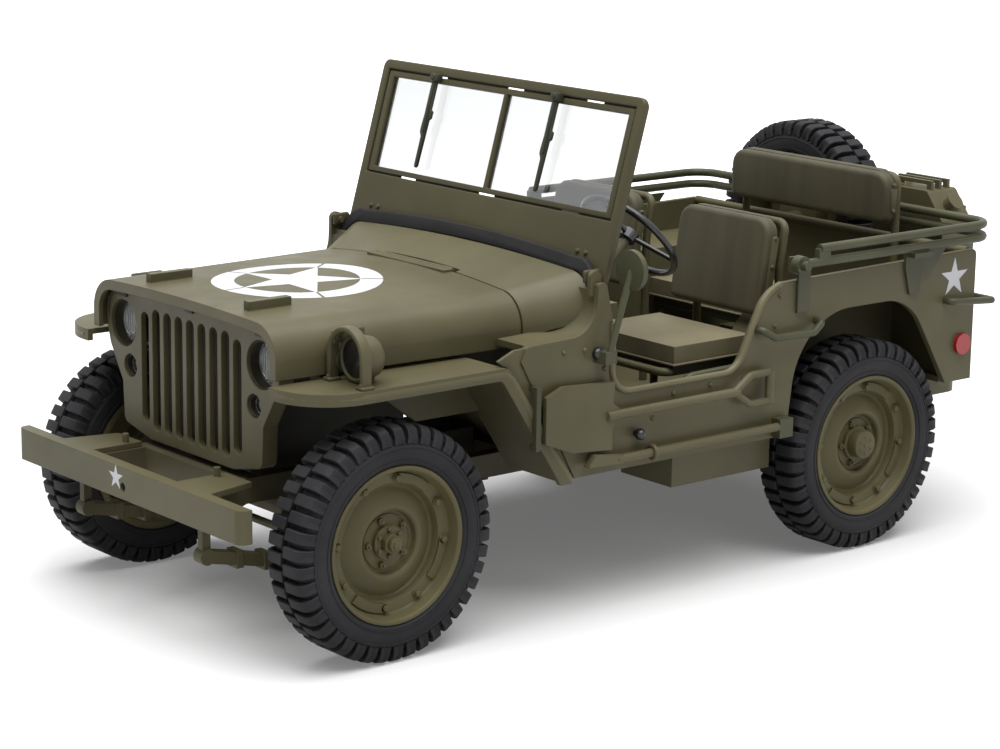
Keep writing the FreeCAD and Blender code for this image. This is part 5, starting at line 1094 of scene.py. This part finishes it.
def makeRolledEdges():
    o, f = opening, fender
    beads = [edgeBead(nodeName, lambda co: abs(co.y * sign - o["sideOut"]) < 0.05
                      and o["from"] < co.x < o["to"] and co.z > o["low"]
                      and not (co.x < o["hipFrom"] and co.z > o["hipUp"]), o["bead"])
             for sign, nodeName in ((1, "side_left"), (-1, "side_right"))]
    # the beads wear the lighter edge paint, a painted highlight along the door openings
    dress("openingEdges", beads, "edgeHighlight", 50)
    x, y, r = f["nose"]
    line = [mmAt(*f["rear"], f["edgeUp"])]
    for step in range(9):
        angle = math.radians(90 - step * 11.25)
        line.append(mmAt(x + r * math.cos(angle), y + r * math.sin(angle), f["edgeUp"]))
    leg = [mmAt(*corner) for corner in f["leg"]]
    left = joinAll("left", [bar("edge", line, f["bead"]), bar("leg", leg, f["legBead"])])
    # the fender beads wear the same lighter paint, a painted highlight along the fender edges
    bothSides("fenderEdges", left, "edgeHighlight", 50)
    # the sheet between the fender's rear leg and the body side
    panel = [mmAt(x, cowlPanel["side"], z) for x, z in cowlPanel["outline"]]
    bothSides("cowlPanels", plate("panel", panel, cowlPanel["thick"], 0.12), "olive", 35)


rivets = {"places": [(-36.8, 48.0), (-41.5, 47.9), (-46.2, 44.1), (-51.5, 39.3), (-62.9, 37.3),
                     (-58.0, 33.4), (-72.0, 37.6), (-80.5, 37.6), (-88.0, 46.5), (-89.2, 52.0)],
          "out": 39.65, "head": [(0, 0.42), (0.3, 0.32), (0.5, 0.0), (0.5, -0.15), (0, -0.15)]}
knobs = {  # place, profile and steps
    "ball": ((-53.9, 40.9, 31.3), [(0, 1.1), (0.55, 0.95), (0.95, 0.55), (1.1, 0), (0.95, -0.55),
                                   (0.5, -0.95), (0.45, -1.6), (0, -1.6)], 20),
    "bolt": ((-44.3, 40.0, 47.0), [(0, 0.9), (0.8, 0.8), (1.1, 0.4), (1.1, -0.3), (0, -0.3)], 16)}


def makeRivets():
    heads = [turned("rivet", rivets["head"], spot(ahead, side * rivets["out"], z),
                    leftward * side, 14) for side in (1, -1) for ahead, z in rivets["places"]]
    dress("bodyRivets", heads, "olive", 50)
    black = [turned(name, profile, spot(*place), leftward, steps)
             for name, (place, profile, steps) in knobs.items()]
    dress("blackKnobs", black, "blackGloss", 50)


catches = {"x": 68.5, "y": 30.7, "z": 54.6, "tabUp": 50.4,
           "tab": [(1.9, -0.35), (2.2, -0.3), (2.3, 0), (2.2, 0.3), (1.9, 0.35), (1.9, -0.35)]}
# a dark bar and pads along the hood's front edge over the grille: painted shade in the gap between hood and grille
hoodGapShade = {"x": 79.5, "radius": 0.3,
           "half": [(26.15, 50.5), (26.05, 52.0), (25.6, 53.2), (24.8, 54.1), (23.6, 54.65),
                    (22.6, 54.8), (13.7, 55.1), (3.1, 55.3)],
           "pads": ((22.4, 54.45, 5.2), (-22.4, 54.45, 5.2), (0, 54.95, 2.6))}


def makeHoodTrim():
    x, y, z = catches["x"], catches["y"], catches["z"]
    parts = []
    for side in (1, -1):
        parts += [block("catch", mmAt(x, side * y, z), (6.4, 1.0, 2.2), 0.3, 3),
                  drum("pin", mmAt(x + 2.4, side * (y + 0.6), z), 0.5, 0.6, leftward, 12, 0.15),
                  turned("tab", catches["tab"], mmAt(x, side * (y - 0.3), catches["tabUp"]),
                         leftward, 24)]
    dress("hoodCatches", parts, "fittings", 45, (), "hood")
    # the dark strip and pads stand for the shadowed gap: painted shade
    x, half = hoodGapShade["x"], hoodGapShade["half"]
    line = [mmAt(x, y, z) for y, z in half] + [mmAt(x, -y, z) for y, z in half[::-1]]
    parts = [bar("gap", line, hoodGapShade["radius"], 0, 2)]
    parts += [block("pad", mmAt(x - 0.05, y, z), (0.7, wide, 0.9), 0.2)
              for y, z, wide in hoodGapShade["pads"]]
    dress("hoodGapShade", parts, "paintedShade", 40)


seatTube = {"radius": 0.85, "bend": 3.0,
            "points": ((-70.5, 33.6, 27.5), (-70.5, 33.6, 37.8), (-100.0, 33.6, 38.2))}

makeRolledEdges()
makeRivets()
makeHoodTrim()
tube = bar("rail", [spot(*p) for p in seatTube["points"]], seatTube["radius"], seatTube["bend"])
bothSides("seatRails", tube, "fittings", 50)
print("stage: body trim made")


# ---- rear and cabin details: the can's pressed ribs and strap, and the gauges

can = {"back": -91.3, "ribSide": (10.5, 23.1), "ribUp": (47.3, 58.6), "rib": 0.55,
       "rimSide": (9.1, 24.5), "rimUp": (45.7, 60.2), "strapMiddle": (16.8, 52.4),
       "strapHigh": 2.6, "strapReach": 9.85}
gauges = {"x": 16.6, "up": 53.6, "places": ((5.0, 2.0), (10.4, 1.2), (0.0, 1.2), (-4.6, 1.2),
                                           (14.4, 1.2))}


def makeCanRibs():
    back = can["back"]
    (low, high), (bottom, top) = can["ribSide"], can["ribUp"]
    parts = [bar("rib", [mmAt(back + 0.1, y, z) for y, z in ends], can["rib"])
             for ends in (((low, bottom), (high, top)), ((high, bottom), (low, top)))]
    (low, high), (bottom, top) = can["rimSide"], can["rimUp"]
    rim = [(low, bottom), (high, bottom), (high, top), (low, top), (low, bottom)]
    parts.append(bar("rim", [mmAt(back + 0.12, y, z) for y, z in rim], can["rib"] * 0.7))
    dress("canRibs", parts, "olive", 50)
    y, z = can["strapMiddle"]
    strap = [block("strap", mmAt(back - 0.2, y, z), (0.5, 20.2, can["strapHigh"])),
             block("buckle", mmAt(back - 0.5, y, z), (0.5, 2.6, 3.4), 0.2)]
    strap += [block("strapEnd", mmAt(back + 4.2, y + side * can["strapReach"], z),
                    (9.0, 0.5, can["strapHigh"])) for side in (1, -1)]
    dress("canStrap", strap, "fittings", 40)


def makeGauges():
    rims, faces = [], []
    for y, r in gauges["places"]:
        middle = mmAt(gauges["x"], y, gauges["up"])
        rims.append(turned("rim", [(r, 0.1), (r, -0.4), (r - 0.15, -0.55), (r - 0.35, -0.45),
                                   (r - 0.35, 0.1), (r, 0.1)], middle, forward, 24))
        faces.append(turned("face", [(0, -0.28), (r - 0.3, -0.22), (r - 0.3, 0.1), (0, 0.1)],
                            middle, forward, 24))
    dress("gaugeRims", rims, "chrome", 50)
    dress("gaugeFaces", faces, "blackGloss", 50)


makeCanRibs()
makeGauges()
print("stage: rear and cabin details made")
